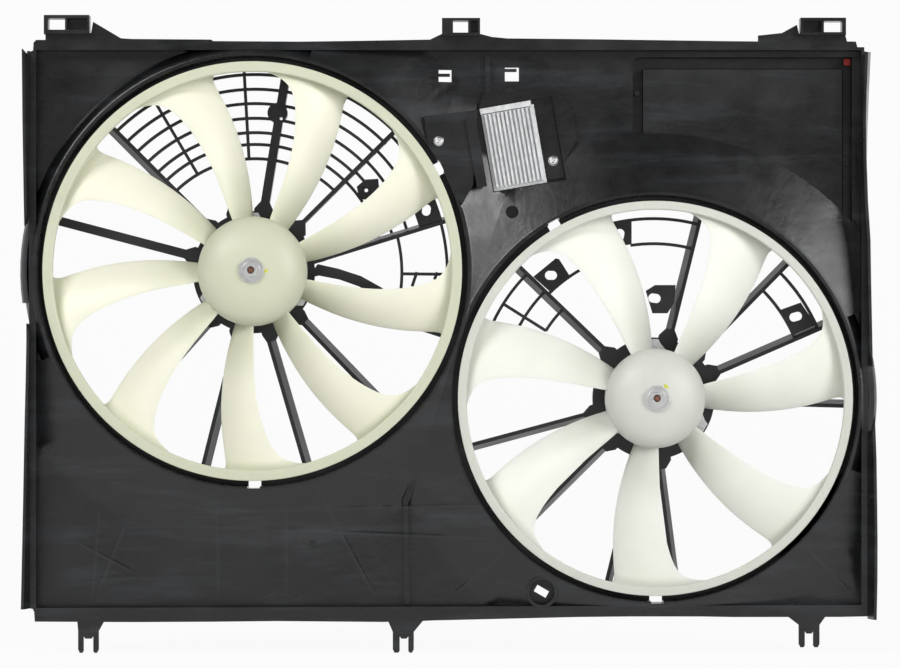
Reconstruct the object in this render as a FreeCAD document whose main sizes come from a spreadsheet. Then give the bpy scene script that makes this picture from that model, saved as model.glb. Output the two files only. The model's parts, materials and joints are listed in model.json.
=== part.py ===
import FreeCAD, Part
import Sketcher
import math
import os
import re

# Twin fan shroud for a car radiator: a moulded plenum with two ring fans,
# each on its own brush motor, and an electronic control module beside them.
# Frame: X to the right, Z up, Y to the rear (away from the radiator).
# Origin: middle of the bottom flange, on the face that lies on the radiator.

doc = FreeCAD.newDocument("RadiatorFanShroud")
sheet = doc.addObject("Spreadsheet::Sheet", "Dims")

sizes = {
    # plenum moulding
    "wall": 2.5,               # wall of the moulding
    "panelDepth": 16,          # recess from flange face to panel
    "trayLeft": -360.2,        # inner edges of the flange
    "trayRight": 358.0,
    "trayTop": 489.8,
    "trayBottomLeft": 4.3,     # the bottom edge rises a little to the right
    "trayBottomRight": 6.9,
    "flangeTop": 496.8,        # outer edges of the flange
    "flangeBottomLeft": -7,
    "flangeBottomRight": -3.5,
    "sideLedge": 5.3,          # flat ledge between tray and side wall
    "sideWallHeight": 18,      # side wall, towards the radiator
    "wallFoot": 3,             # upright foot of a side wall, in front of the flange
    "sideWallBottomLeft": 4,
    "sideWallBottomRight": -5,
    "sideWallTop": 487,
    # fan axes
    "leftX": -172, "leftZ": 297.4,
    "rightX": 178.6, "rightZ": 186.7,
    # fans
    "leftRing": 182.5, "rightRing": 171.8,      # outer radius of the ring's lip
    "leftHub": 47.5, "rightHub": 43.3,
    "leftLip": 9.1, "rightLip": 7.7,            # from ring bore to lip edge
    "boreFlare": 3,            # the ring bore widens towards the rear
    "ringWall": 2.4,
    "ringFront": -3, "ringBack": 22,
    "lipDepth": 7,
    "hubBack": 20, "hubShoulder": 0, "domeHeight": 22,
    "hubWall": 2.5,
    "leftBlades": 9, "rightBlades": 7,
    "leftBladeStart": 0, "rightBladeStart": -20,
    "leftBladeBack": 10.5, "leftBladeFore": 31.5,     # root angles of trailing and leading edge
    "rightBladeBack": 9, "rightBladeFore": 36.5,
    "leftSweepFore": 8, "rightSweepFore": 5,          # how far the leading edge sweeps round
    "bladeSweepBack": 12.5,    # how far the trailing edge sweeps round towards the ring
    "bladeThick": 2.4, "bladeMiddle": 9.8,
    "bladeFillet": 6.5,        # degrees that the leading edge runs out along the ring
    "rootRise": 11, "tipRise": 8,   # half of the axial depth of the blade
    # barrels
    "tipGap": 5,               # lip to barrel
    "barrelBack": 26,
    "mouthEdge": 0.8,
    "collarWidth": 13, "collarFront": -2, "collarDrop": 15,
    "leftBulge": 15.5, "rightBulge": 17,        # collar width where it swells past the side walls
    "apronWidth": 45,
    # stators
    "strutDepth": 12, "strutEdge": 3.4, "strutRoot": 17, "strutRootLength": 9,
    "statorWall": 2.5,
    "rimGap": 0.3,             # between the two stator rims
    "labyrinth": 4.5,          # how far the rear rim reaches in behind the lip
    "motorRingOuter": 53.5, "motorRingInner": 42,
    "drainWidth": 11, "drainReach": 6.7,         # drain slots, from the lip outwards
    # guards
    "guardBar": 2.7, "guardDepth": 3.5,
    # motors
    "canRadius": 38, "canWall": 1.8, "canFront": -6, "canBack": 46,
    "noseRadius": 9.8, "noseFront": -11.5,
    "shaftRadius": 4, "bearingRadius": 8, "bearingLength": 6, "runningGap": 0.04,
    "earThick": 3, "earRadius": 53.5, "screwCircle": 48, "screwRadius": 2.4,
    "coreRadius": 26, "coreFront": 6, "coreBack": 30,
    "magnetInner": 28.2, "magnetFront": 3, "magnetBack": 33,
    "commutatorRadius": 11, "commutatorFront": 36, "commutatorBack": 42,
    "brushGap": 0.3, "brushWidth": 6, "brushLength": 10,
    "endPlateThick": 2.5, "rearBoss": 10.5, "rearBossLength": 7,
    # hub insert and nut
    "insertRadius": 11, "insertFlange": 2, "sleeveRadius": 6.2,
    "nutFlats": 10, "nutHeight": 5, "nutFlange": 7.6,
    # control module
    "moduleX": 55.8, "moduleZ": 405.7, "moduleTilt": 9.7,
    "sinkWidth": 42, "sinkHeight": 64.5, "finThick": 1.9, "finRise": 8, "sinkRim": 2.5,
    "sinkBase": 3, "moduleFront": 11,
    "moduleBoxDepth": 22, "moduleWall": 2,
    # corner pocket and cover
    "pocketLeft": 159.7, "pocketMargin": 8.8, "pocketDepth": 14,
    "pocketBottom": 297, "groove": 9, "pocketCorner": 7,
    # drain cup
    "cupX": 80, "cupZ": 15, "cupRadius": 13.7, "cupDepth": 18,
}

for row, (name, value) in enumerate(sizes.items(), 1):
    sheet.set("A%d" % row, name)
    sheet.set("B%d" % row, str(value))
    sheet.setAlias("B%d" % row, name)
doc.recompute()


# ---------- small helpers ----------

def bind(text):
    # names of sizes become references to the sheet
    return re.sub(r"[A-Za-z_]\w*",
                  lambda m: "Dims." + m.group(0) if m.group(0) in sizes else m.group(0),
                  str(text))


def size(text):
    return float(sheet.evalExpression(bind(text)))


def tie(item, prop, text):
    item.setExpression(prop, bind(text))


def originPlane(body, role):
    for plane in body.Origin.OriginFeatures:
        if plane.Role == role:
            return plane


def drawOutline(sketch, points):
    # a closed outline: each point is (x, y) or (x, y, radius), where a radius
    # makes the edge to the next point an arc; its sign picks the side
    first = sketch.GeometryCount
    spots = [(size(p[0]), size(p[1])) for p in points]
    count = len(points)
    ends = []
    for i in range(count):
        a, b = spots[i], spots[(i + 1) % count]
        if len(points[i]) == 2:
            sketch.addGeometry(Part.LineSegment(FreeCAD.Vector(*a, 0), FreeCAD.Vector(*b, 0)), False)
            ends.append((1, 2))
            continue
        radius = size(points[i][2])
        turn = 1 if radius > 0 else -1
        radius = abs(radius)
        dx, dy = b[0] - a[0], b[1] - a[1]
        half = math.hypot(dx, dy) / 2
        rise = math.sqrt(max(radius ** 2 - half ** 2, 0))
        cx = (a[0] + b[0]) / 2 - turn * dy / (2 * half) * rise
        cy = (a[1] + b[1]) / 2 + turn * dx / (2 * half) * rise
        start, end = (a, b) if turn > 0 else (b, a)
        t0 = math.atan2(start[1] - cy, start[0] - cx)
        t1 = math.atan2(end[1] - cy, end[0] - cx)
        circle = Part.Circle(FreeCAD.Vector(cx, cy, 0), FreeCAD.Vector(0, 0, 1), radius)
        sketch.addGeometry(Part.ArcOfCircle(circle, t0, t1), False)
        ends.append((1, 2) if turn > 0 else (2, 1))
    for i in range(count):
        j = (i + 1) % count
        sketch.addConstraint(Sketcher.Constraint("Coincident", first + i, ends[i][1], first + j, ends[j][0]))
    for i in range(count):
        for kind, k in (("DistanceX", 0), ("DistanceY", 1)):
            number = sketch.addConstraint(
                Sketcher.Constraint(kind, -1, 1, first + i, ends[i][0], spots[i][k]))
            tie(sketch, "Constraints[%d]" % number, points[i][k])
        if len(points[i]) == 3:
            number = sketch.addConstraint(
                Sketcher.Constraint("Radius", first + i, abs(size(points[i][2]))))
            tie(sketch, "Constraints[%d]" % number, "abs(%s)" % points[i][2])


def drawCircle(sketch, x, y, radius):
    number = sketch.addGeometry(Part.Circle(
        FreeCAD.Vector(size(x), size(y), 0), FreeCAD.Vector(0, 0, 1), size(radius)), False)
    for kind, value in (("DistanceX", x), ("DistanceY", y)):
        c = sketch.addConstraint(Sketcher.Constraint(kind, -1, 1, number, 3, size(value)))
        tie(sketch, "Constraints[%d]" % c, value)
    c = sketch.addConstraint(Sketcher.Constraint("Radius", number, size(radius)))
    tie(sketch, "Constraints[%d]" % c, radius)


def shifted(item, x, z):
    # moves a finished piece sideways as a whole
    return place(grouped(item.Name + "_moved", [item]), x, 0, z)


def place(item, x=0, y=0, z=0):
    for axis, value in (("x", x), ("y", y), ("z", z)):
        if str(value) != "0":
            tie(item, "Placement.Base.%s" % axis, value)
    return item


def turned(label, points, x=0, z=0, y=0):
    # a body of revolution about the Y direction; points are (radius, depth)
    body = doc.addObject("PartDesign::Body", label)
    sketch = body.newObject("Sketcher::SketchObject", label + "_profile")
    sketch.AttachmentSupport = [(originPlane(body, "XY_Plane"), "")]
    sketch.MapMode = "FlatFace"
    drawOutline(sketch, points)
    doc.recompute()
    spin = body.newObject("PartDesign::Revolution", label + "_turn")
    spin.Profile = sketch
    spin.ReferenceAxis = (sketch, ["V_Axis"])
    spin.Angle = 360
    return place(body, x, y, z)


def plate(label, outlines, front, depth, x=0, z=0, circles=()):
    # a pad from an outline in the XZ plane, from depth "front" to the rear
    body = doc.addObject("PartDesign::Body", label)
    sketch = body.newObject("Sketcher::SketchObject", label + "_outline")
    sketch.AttachmentSupport = [(originPlane(body, "XZ_Plane"), "")]
    sketch.MapMode = "FlatFace"
    for outline in outlines:
        drawOutline(sketch, outline)
    for circle in circles:
        drawCircle(sketch, *circle)
    doc.recompute()
    pad = body.newObject("PartDesign::Pad", label + "_pad")
    pad.Profile = sketch
    pad.Reversed = True
    tie(pad, "Length", depth)
    return place(body, x, front, z)


def pocketed(body, outlines, front, depth, name, circles=()):
    # cuts from depth "front" (in the body) to the rear
    before = body.Shape.Volume
    sketch = body.newObject("Sketcher::SketchObject", name + "_outline")
    sketch.AttachmentSupport = [(originPlane(body, "XZ_Plane"), "")]
    sketch.MapMode = "FlatFace"
    tie(sketch, "AttachmentOffset.Base.z", "-(%s)" % front)
    for outline in outlines:
        drawOutline(sketch, outline)
    for circle in circles:
        drawCircle(sketch, *circle)
    doc.recompute()
    pocket = body.newObject("PartDesign::Pocket", name)
    pocket.Profile = sketch
    tie(pocket, "Length", depth)
    pocket.Reversed = False
    doc.recompute()
    if abs(body.Shape.Volume - before) < 1e-6:
        pocket.Reversed = True
        doc.recompute()
    if not body.Shape.Volume < before - 1e-6:
        raise RuntimeError("pocket %s cuts nothing" % name)
    return body


def prism(name, points, front, depth):
    # an extruded outline used as a building block of the moulding
    sketch = doc.addObject("Sketcher::SketchObject", name + "_outline")
    sketch.Placement = FreeCAD.Placement(FreeCAD.Vector(0, 0, 0),
                                         FreeCAD.Rotation(FreeCAD.Vector(1, 0, 0), 90))
    tie(sketch, "Placement.Base.y", front)
    drawOutline(sketch, points)
    block = doc.addObject("Part::Extrusion", name)
    block.Base = sketch
    block.DirMode = "Custom"
    block.Dir = FreeCAD.Vector(0, 1, 0)
    block.Solid = True
    tie(block, "LengthFwd", depth)
    return block


def rod(name, radius, front, depth, x, z):
    cylinder = doc.addObject("Part::Cylinder", name)
    cylinder.Placement = FreeCAD.Placement(FreeCAD.Vector(0, 0, 0),
                                           FreeCAD.Rotation(FreeCAD.Vector(1, 0, 0), -90))
    tie(cylinder, "Radius", radius)
    tie(cylinder, "Height", depth)
    return place(cylinder, x, front, z)


def block(name, x, y, z, length, width, height):
    box = doc.addObject("Part::Box", name)
    tie(box, "Length", length)
    tie(box, "Width", width)
    tie(box, "Height", height)
    return place(box, x, y, z)


def fused(name, shapes):
    result = doc.addObject("Part::MultiFuse", name)
    result.Shapes = shapes
    return result


def cut(name, base, tools):
    tool = tools[0] if len(tools) == 1 else fused(name + "_tools", tools)
    result = doc.addObject("Part::Cut", name)
    result.Base = base
    result.Tool = tool
    return result


def shared(name, shapes):
    result = doc.addObject("Part::MultiCommon", name)
    result.Shapes = shapes
    return result


def grouped(label, shapes):
    result = doc.addObject("Part::Compound", label)
    result.Links = shapes
    return result


def polar(x, z, radius, angle):
    # a point at an angle about a fan's axis, seen from the front
    a = "%s*1deg" % angle
    return ("%s+(%s)*cos(%s)" % (x, radius, a), "%s+(%s)*sin(%s)" % (z, radius, a))


nodes = {}


def keep(node, item):
    item.Label = node
    nodes[node] = item
    return item


# each strut: its direction, how far its line passes beside the axis, its width,
# and whether it leans over like a vane
fans = {
    "left": {"x": "leftX", "z": "leftZ", "ring": "leftRing", "hub": "leftHub", "blades": "leftBlades",
             "lip": "leftLip", "bulge": "leftBulge", "start": "leftBladeStart", "back": "leftBladeBack",
             "fore": "leftBladeFore", "sweep": "leftSweepFore",
             "struts": [(17.2, -5.6, 6.6, True), (44.8, 0.7, 3.8, False), (80.8, 0, 7.8, False),
                        (107, 0, 7.6, True), (135, 0, 8, True), (165.3, -0.2, 7.8, False),
                        (228, 0, 7.6, True), (256, 0, 8, True), (286.2, -2.1, 8, True),
                        (313.9, 2.1, 8, True), (342, 0, 7.6, True)],
             "drains": [270.3, 29.2], "opening": (75, 203), "seams": (13, 0)},
    "right": {"x": "rightX", "z": "rightZ", "ring": "rightRing", "hub": "rightHub", "blades": "rightBlades",
              "lip": "rightLip", "bulge": "rightBulge", "start": "rightBladeStart", "back": "rightBladeBack",
              "fore": "rightBladeFore", "sweep": "rightSweepFore",
              "struts": [(23.5, 0, 8, True), (45.6, 0, 7.4, True), (76.1, 0, 7.6, True),
                         (104.5, 0, 7.6, True), (136, 0.5, 7.8, True), (155.8, 0, 7.6, True),
                         (195, 0, 7.6, True), (224.8, 0, 7.6, True), (256.3, 0, 7.6, True),
                         (277.3, -0.8, 7.6, True), (311.6, 0, 7.6, True), (358.4, 0, 7.6, True)],
              "drains": [270.6, 119.9], "opening": (-20, 23), "seams": (-10, 27)},
}


def swung(item, x, z, angle):
    # turns a piece about an axis along Y, anticlockwise seen from the front
    if item.TypeId in ("Part::Box", "Part::Cylinder"):
        item = grouped(item.Name + "_turned", [item])
    item.Placement = FreeCAD.Placement(FreeCAD.Vector(0, 0, 0),
                                       FreeCAD.Rotation(FreeCAD.Vector(0, -1, 0), size(angle)))
    place(item, x, 0, z)
    tie(item, "Placement.Rotation.Angle", angle)
    return item


def crossSection(name, points, z):
    # an outline in the XY plane at height z, for lofts along Z
    sketch = doc.addObject("Sketcher::SketchObject", name)
    drawOutline(sketch, points)
    tie(sketch, "Placement.Base.z", z)
    return sketch


def lofted(name, sections):
    loft = doc.addObject("Part::Loft", name)
    loft.Sections = sections
    loft.Solid = True
    loft.Ruled = True
    return loft


def ribbon(name, path, width, front, depth):
    # a raised rib of even width that follows a path of points
    left, right = [], []
    for i, (x, z) in enumerate(path):
        a = path[max(i - 1, 0)]
        b = path[min(i + 1, len(path) - 1)]
        run = math.hypot(b[0] - a[0], b[1] - a[1])
        nx, nz = -(b[1] - a[1]) / run, (b[0] - a[0]) / run
        left.append(("%.3f+%s*%.4f" % (x, width, nx / 2), "%.3f+%s*%.4f" % (z, width, nz / 2)))
        right.append(("%.3f-%s*%.4f" % (x, width, nx / 2), "%.3f-%s*%.4f" % (z, width, nz / 2)))
    return prism(name, left + right[::-1], front, depth)


# ---------- shroud panel ----------

tray = prism("tray_outside", [
    ("trayLeft-wall", "trayBottomLeft-wall"), ("trayRight+wall", "trayBottomRight-wall"),
    ("trayRight+wall", "trayTop+wall"), ("trayLeft-wall", "trayTop+wall")],
    "0", "panelDepth+wall")
hollow = prism("tray_hollow", [
    ("trayLeft", "trayBottomLeft"), ("trayRight", "trayBottomRight"),
    ("trayRight", "trayTop"), ("trayLeft", "trayTop")],
    "-1", "panelDepth+1")

# flange that lies on the radiator, with steps and ramps along its edges
flange = prism("flange", [
    ("trayLeft-sideLedge-0.8", "sideWallBottomLeft"), ("-362", "3.2"), ("-361.3", "-7.6"), ("-322", "-7.8"),
    ("-276.7", "-8"), ("-208", "-7.7"), ("-150", "-7.1"), ("-104", "-7.5"), ("-58", "-7.9"), ("-24", "-7"),
    ("-15.7", "-6.6"), ("26.1", "-5.6"), ("67.9", "-4.5"), ("109.6", "-3.6"), ("156.6", "-3.1"),
    ("217.5", "-3.1"), ("245.3", "-3.6"), ("339.3", "-3.5"), ("trayRight+sideLedge+0.6", "-3"),
    ("trayRight+sideLedge+0.6", "320"), ("trayRight+3.2", "394"), ("trayRight+3.5", "430"),
    ("trayRight+sideLedge+0.6", "488"), ("355", "489.8"), ("353.2", "497.2"),
    ("345.4", "497.2"), ("343.7", "503.7"), ("303.6", "504"), ("301.9", "511.8"), ("288.8", "504.6"),
    ("268", "502.4"), ("268", "497.3"), ("235", "497.6"), ("130.5", "499.1"), ("50", "499.9"),
    ("36.5", "501.2"), ("26.1", "503.9"), ("-7", "503.9"), ("-17.4", "498.9"), ("-78", "497.8"),
    ("-130.5", "497.1"), ("-172", "497.3"), ("-206", "497.6"), ("-208", "498.9"), ("-276.7", "499.4"),
    ("-286.2", "500"), ("-310.6", "514.4"), ("-312.3", "504.6"), ("-352", "504.6"), ("-352", "498.6"),
    ("-360.2", "498.6"), ("-362.5", "496"), ("-362.5", "489.5"), ("trayLeft-sideLedge-0.8", "488")],
    "0", "wall")

# side walls: upright at the flange, then each bows in beside its fan and leans a
# little; per height the shift of the outer face at the flange and at the free edge
def sideWall(name, outside, inward, stations, bevel):
    sections = []
    for i, (z, root, edge) in enumerate(stations):
        sections.append(crossSection("%s_section%d" % (name, i), [
            ("%s+(%s)+%s*wall" % (outside, root, inward), "wall"), ("%s+(%s)" % (outside, root), "wall"),
            ("%s+(%s)" % (outside, root), "-wallFoot"), ("%s+(%s)" % (outside, edge), "-sideWallHeight"),
            ("%s+(%s)+%s*wall" % (outside, edge, inward), "-sideWallHeight"),
            ("%s+(%s)+%s*wall" % (outside, root, inward), "-wallFoot")], z))
    wall = lofted(name, sections)
    return cut(name + "_trimmed", wall, [bevel])


leftOutside = "trayLeft-sideLedge-wall"
leftBevel = prism("left_wall_bevel", [
    (leftOutside + "-4", "sideWallTop+5"), (leftOutside + "+1", "sideWallTop-1.5"),
    (leftOutside + "+5", "sideWallTop-1.5"), (leftOutside + "+5", "sideWallTop+5")],
    "-sideWallHeight-1", "sideWallHeight+1")
leftWall = sideWall("left_side_wall", leftOutside, "1", [
    ("sideWallBottomLeft", 0, -3.4), ("64", 0, -2.1), ("99", 0, -1.4), ("168", 0, -0.1), ("203", 0.8, 0.8),
    ("237", 1.4, 1.4), ("256", 1.3, 1.3), ("358", 0, -0.9), ("427", 0, -2), ("sideWallTop+2", 0, -2.6)], leftBevel)
rightOutside = "trayRight+sideLedge+wall"
rightBevel = prism("right_wall_bevel", [
    (rightOutside + "-8", "sideWallTop-2"), (rightOutside + "+2", "sideWallTop+1"),
    (rightOutside + "+2", "sideWallTop+5"), (rightOutside + "-8", "sideWallTop+5")],
    "-sideWallHeight-1", "sideWallHeight+1")
rightWall = sideWall("right_side_wall", rightOutside, "-1", [
    ("sideWallBottomRight", 0, 3.3), ("30", 0, 4), ("64", 0, 4.1), ("99", 0, 3.7), ("134", 0, 3.2),
    ("151", 0, 2.6), ("220", 0, -0.1), ("255", 0, -0.8), ("289", 0, -1.5), ("324", -0.2, -2.1),
    ("358", -2.3, -4.4), ("394", -3.4, -5.6), ("427", -2.7, -6), ("455", -1.6, -5.3),
    ("sideWallTop+1", 0, -4)], rightBevel)
# both walls stop where a collar bulges past them
leftWall = cut("left_wall_open", leftWall, [rod("left_wall_drum", "leftRing+tipGap+collarWidth-0.5",
                                                "-30", "60", "leftX", "leftZ")])
rightWall = cut("right_wall_open", rightWall, [rod("right_wall_drum", "rightRing+tipGap+collarWidth-0.5",
                                                   "-30", "60", "rightX", "rightZ")])


def foot(name, left, slotLeft, slotRight, right, top, tip, slotTop, waist, flareLeft, flareRight):
    # a forked foot: two prongs that straddle a peg below the flange
    return prism(name, [
        (left - flareLeft, top), (left, waist), (left, tip + 3), (left + 1.5, tip), (slotLeft - 1.2, tip),
        (slotLeft, tip + 1.5), (slotLeft, slotTop + 2), (slotLeft + 1.5, slotTop), (slotRight - 1.5, slotTop),
        (slotRight, slotTop + 2), (slotRight, tip + 1.5), (slotRight + 1.2, tip), (right - 1.5, tip),
        (right, tip + 3), (right, waist), (right + flareRight, top)], "0", "wall+0.7")


feet = [
    foot("left_foot", -323.6, -318.8, -310.4, -305.6, -5, -34.8, -22.4, -15.7, 0.9, 6),
    foot("centre_foot", -49.8, -43.8, -36.3, -31.5, -5, -34.6, -22.4, -16.5, 5, 9.5),
    foot("right_foot", 303.4, 308.7, 316, 321.5, -2, -29.9, -18, -10.4, 11, 6)]

# brackets along the top edge: short box sections with a window
brackets, windows = [], []
for name, x0, x1, z0, z1, wx0, wx1, wz0, wz1, bx0, bx1 in (
        ("left_bracket", -352.6, -313.2, 503, 519.5, -349, -334.2, 506.7, 516.7, -332.3, -315),
        ("centre_bracket", -7, 26.1, 501.5, 516.9, 2.6, 15.7, 504.2, 514.6, 17.9, 24),
        ("right_bracket", 304.1, 343.7, 502, 517.1, 324.5, 340.2, 504.6, 514.2, 306.6, 322.3)):
    brackets.append(block(name, x0, "-8", z0, x1 - x0, "14", z1 - z0))
    windows.append(block(name + "_window", wx0, "-9", wz0, wx1 - wx0, "16", wz1 - wz0))
    windows.append(block(name + "_pocket", bx0, "-9", wz0, bx1 - bx0, "13", wz1 - wz0))

# barrels with their collars and aprons
collars, bores, scallops = [], [], []
for side, f in fans.items():
    r0 = "%s+tipGap" % f["ring"]
    profile = [
        (r0, "barrelBack"), (r0, "collarFront+mouthEdge"), (r0 + "+mouthEdge", "collarFront"),
        (r0 + "+mouthEdge+1.4", "collarFront"), (r0 + "+collarWidth*0.35", "collarFront+collarDrop*0.08"),
        (r0 + "+collarWidth*0.65", "collarFront+collarDrop*0.3"),
        (r0 + "+collarWidth*0.88", "collarFront+collarDrop*0.63"), (r0 + "+collarWidth", "collarFront+collarDrop"),
        (r0 + "+collarWidth", "panelDepth+wall"), (r0 + "+collarWidth-wall", "panelDepth+wall"),
        (r0 + "+collarWidth-wall", "collarFront+collarDrop+0.6"),
        (r0 + "+collarWidth*0.7", "collarFront+collarDrop*0.72"),
        (r0 + "+collarWidth*0.5", "collarFront+collarDrop*0.42"),
        (r0 + "+wall", "collarFront+collarDrop*0.25"), (r0 + "+wall", "barrelBack")]
    collars.append(turned(side + "_barrel", profile, f["x"], f["z"]))
    bores.append(rod(side + "_bore", r0, "-40", "100", f["x"], f["z"]))
    for n, angle in enumerate(f["drains"]):
        scallops.append(swung(block("%s_scallop%d" % (side, n), f["ring"], "collarFront-1", "-drainWidth/2",
                                    "drainReach", "barrelBack-collarFront+2", "drainWidth"), f["x"], f["z"], angle))
    # beyond the side wall the collar swells outwards
    swell = turned(side + "_swell", [
        (r0 + "+collarWidth-4", "1"), (r0 + "+%s-2.5" % f["bulge"], "4"), (r0 + "+" + f["bulge"], "9"),
        (r0 + "+" + f["bulge"], "panelDepth+wall"), (r0 + "+collarWidth-4", "panelDepth+wall")], f["x"], f["z"])
    corner = "%s-%s-tipGap-%s-5" % (f["x"], f["ring"], f["bulge"]) if side == "left" else "trayRight+sideLedge-1"
    bottom, top = ("leftZ-27.5", "leftZ+55") if side == "left" else ("rightZ-45", "rightZ+50")
    room = block(side + "_swell_limit", corner, "0", bottom, "trayLeft-sideLedge+1-(%s)" % corner if side == "left"
                 else "30", "30", "%s-(%s)" % (top, bottom))
    collars.append(shared(side + "_swell_part", [swell, room]))
    # apron: a shallow cone from the mouth down to the panel, left open beside the outer corner
    outer = r0 + "+collarWidth"
    cone = turned(side + "_apron_cone", [
        (r0 + "+2.6", "collarFront+0.6"), (outer + "+apronWidth", "panelDepth"),
        (outer + "+apronWidth", "panelDepth+wall"), (r0 + "+2.6", "panelDepth+wall")], f["x"], f["z"])
    a0, a1 = f["opening"]
    reach = 420
    wedge = prism(side + "_apron_gap", [(0, 0)] + [
        ("%d*cos(%s*1deg)" % (reach, a), "%d*sin(%s*1deg)" % (reach, a))
        for a in (a0, (2 * a0 + a1) / 3, (a0 + 2 * a1) / 3, a1)], "-5", "60")
    place(wedge, f["x"], 0, f["z"])
    collars.append(cut(side + "_apron", shared(side + "_apron_inside", [cone, prism(
        side + "_apron_limit", [
            ("trayLeft-1", "trayBottomLeft-1"), ("trayRight+1", "trayBottomRight-1"),
            ("trayRight+1", "trayTop+1"), ("trayLeft-1", "trayTop+1")], "-3", "60")]), [wedge]))

# deep pocket at the upper right
pocketTop = "trayTop-pocketMargin+4"
pocketOut = prism("pocket_outside", [
    ("pocketLeft-wall", "rightZ+170"), ("pocketLeft-wall", pocketTop + "+wall"),
    ("trayRight-4", pocketTop + "+wall"), ("trayRight-4", "pocketBottom-wall"),
    ("rightX+100", "pocketBottom-wall")], "panelDepth", "pocketDepth+wall")
pocketIn = prism("pocket_inside", [
    ("pocketLeft", "rightZ+170"), ("pocketLeft", pocketTop + "-pocketCorner", "-pocketCorner"),
    ("pocketLeft+pocketCorner", pocketTop), ("trayRight-6.5", pocketTop),
    ("trayRight-6.5", "pocketBottom"), ("rightX+100", "pocketBottom")], "panelDepth-1", "pocketDepth+1")
collarDrum = rod("collar_drum", "rightRing+tipGap+collarWidth", "-10", "80", "rightX", "rightZ")
innerDrum = rod("pocket_drum", "rightRing+tipGap+collarWidth-wall", "-10", "80", "rightX", "rightZ")
pocketShell = cut("pocket_shell", pocketOut, [innerDrum])
pocketRoom = cut("pocket_room", pocketIn, [collarDrum])

# platform of the control module, with the window for its heat sink
platform = prism("module_platform", [
    ("30", "453"), ("45", "457.5"), ("78", "454"), ("98", "450.5"), ("107", "439"), ("110.5", "413"),
    ("85.5", "368.5"), ("69.5", "341"), ("55", "336.5"), ("24.5", "351.5"), ("10.5", "355"), ("2", "366"),
    ("-8.5", "392"), ("-19", "405"), ("-22.5", "432"), ("24", "437.5")],
    "moduleFront", "panelDepth+wall-moduleFront")
padFront = "collarFront-1.5"
leftPad = prism("module_left_pad", [
    ("24", "437.5"), ("-22.5", "432"), ("-19", "405"), ("-8.5", "392"), ("2", "366"), ("10.5", "355"),
    ("20", "372")], padFront, "panelDepth+wall-(%s)" % padFront)
leftRidge = swung(block("module_left_ridge", "-sinkWidth/2-17", padFront + "-3", "-30", "9", "8", "60"),
                  "moduleX", "moduleZ", "moduleTilt")
window = swung(block("module_window", "-sinkWidth/2-3.5", "-2", "-sinkHeight/2-3.5",
                     "sinkWidth+22.5", "60", "sinkHeight+9.7"), "moduleX", "moduleZ", "moduleTilt")
lobe = rod("module_lobe_hole", "5.6", "0", "panelDepth", "54.2", "349.2")
screwHole = rod("module_screw_hole", "1.7", "-20", "60", "-9.9", "410.3")

# centre rib, cup, ribs and holes of the panel
ribPath = [(33, 486), (33, 455), (34.8, 405), (34, 365), (26, 315.8), (17.4, 285), (6, 250.5),
           (-2.6, 218.4), (-15.6, 172), (-26, 133), (-38.7, 98), (-37.4, 7)]
centreRib = ribbon("centre_rib", ribPath, "4.5", "panelDepth-5", "6")
cup = rod("cup", "cupRadius", "0", "cupDepth", "cupX", "cupZ+3")
cupBore = rod("cup_bore", "cupRadius-wall", "-1", "cupDepth-wall+1", "cupX", "cupZ+3")
cupDrain = swung(block("cup_drain", "-5.9", "cupDepth-6", "-3.2", "11.8", "12", "6.4"), "cupX", "cupZ+3", "-30")
holes = [block("top_hole_left", "-9.9", "0", "463.1", "11.2", "30", "10.7"),
         block("top_hole_right", "48", "0", "463.9", "12.2", "30", "12")]
tongues = [block("hole_tongue_left", "-11", "panelDepth+0.4", "467.9", "11", "wall-0.4", "2.8"),
           block("hole_tongue_right", "47", "panelDepth+0.4", "472.1", "11.3", "wall-0.4", "2.8")]
bosses = [rod("boss%d" % i, "2.6", "panelDepth-2.2", "3", x, z) for i, (x, z) in enumerate((
    (-285, 110), (-120, 60), (150, 440)))]
pegs = [rod("groove_peg%d" % i, "2.2", "panelDepth+4", "pocketDepth-3", x, z) for i, (x, z) in enumerate((
    (163.6, 396.4), (163.6, 453.7), (208.1, 372.6), (297, 331.4)))]

moulding = fused("moulding", [tray, flange])
moulding = cut("open_moulding", moulding, [hollow])
moulding = fused("moulding_with_walls", [moulding, leftWall, rightWall, pocketShell, platform, leftPad, leftRidge,
                                         centreRib, cup] + feet + brackets + collars + bosses)
moulding = cut("bored_moulding", moulding, bores + windows + [pocketRoom, window, lobe, screwHole, cupBore, cupDrain]
               + holes + scallops)
shroud = fused("shroud", [moulding] + tongues + pegs)
keep("shroud_panel", shroud)


# ---------- stators and guards ----------

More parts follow.
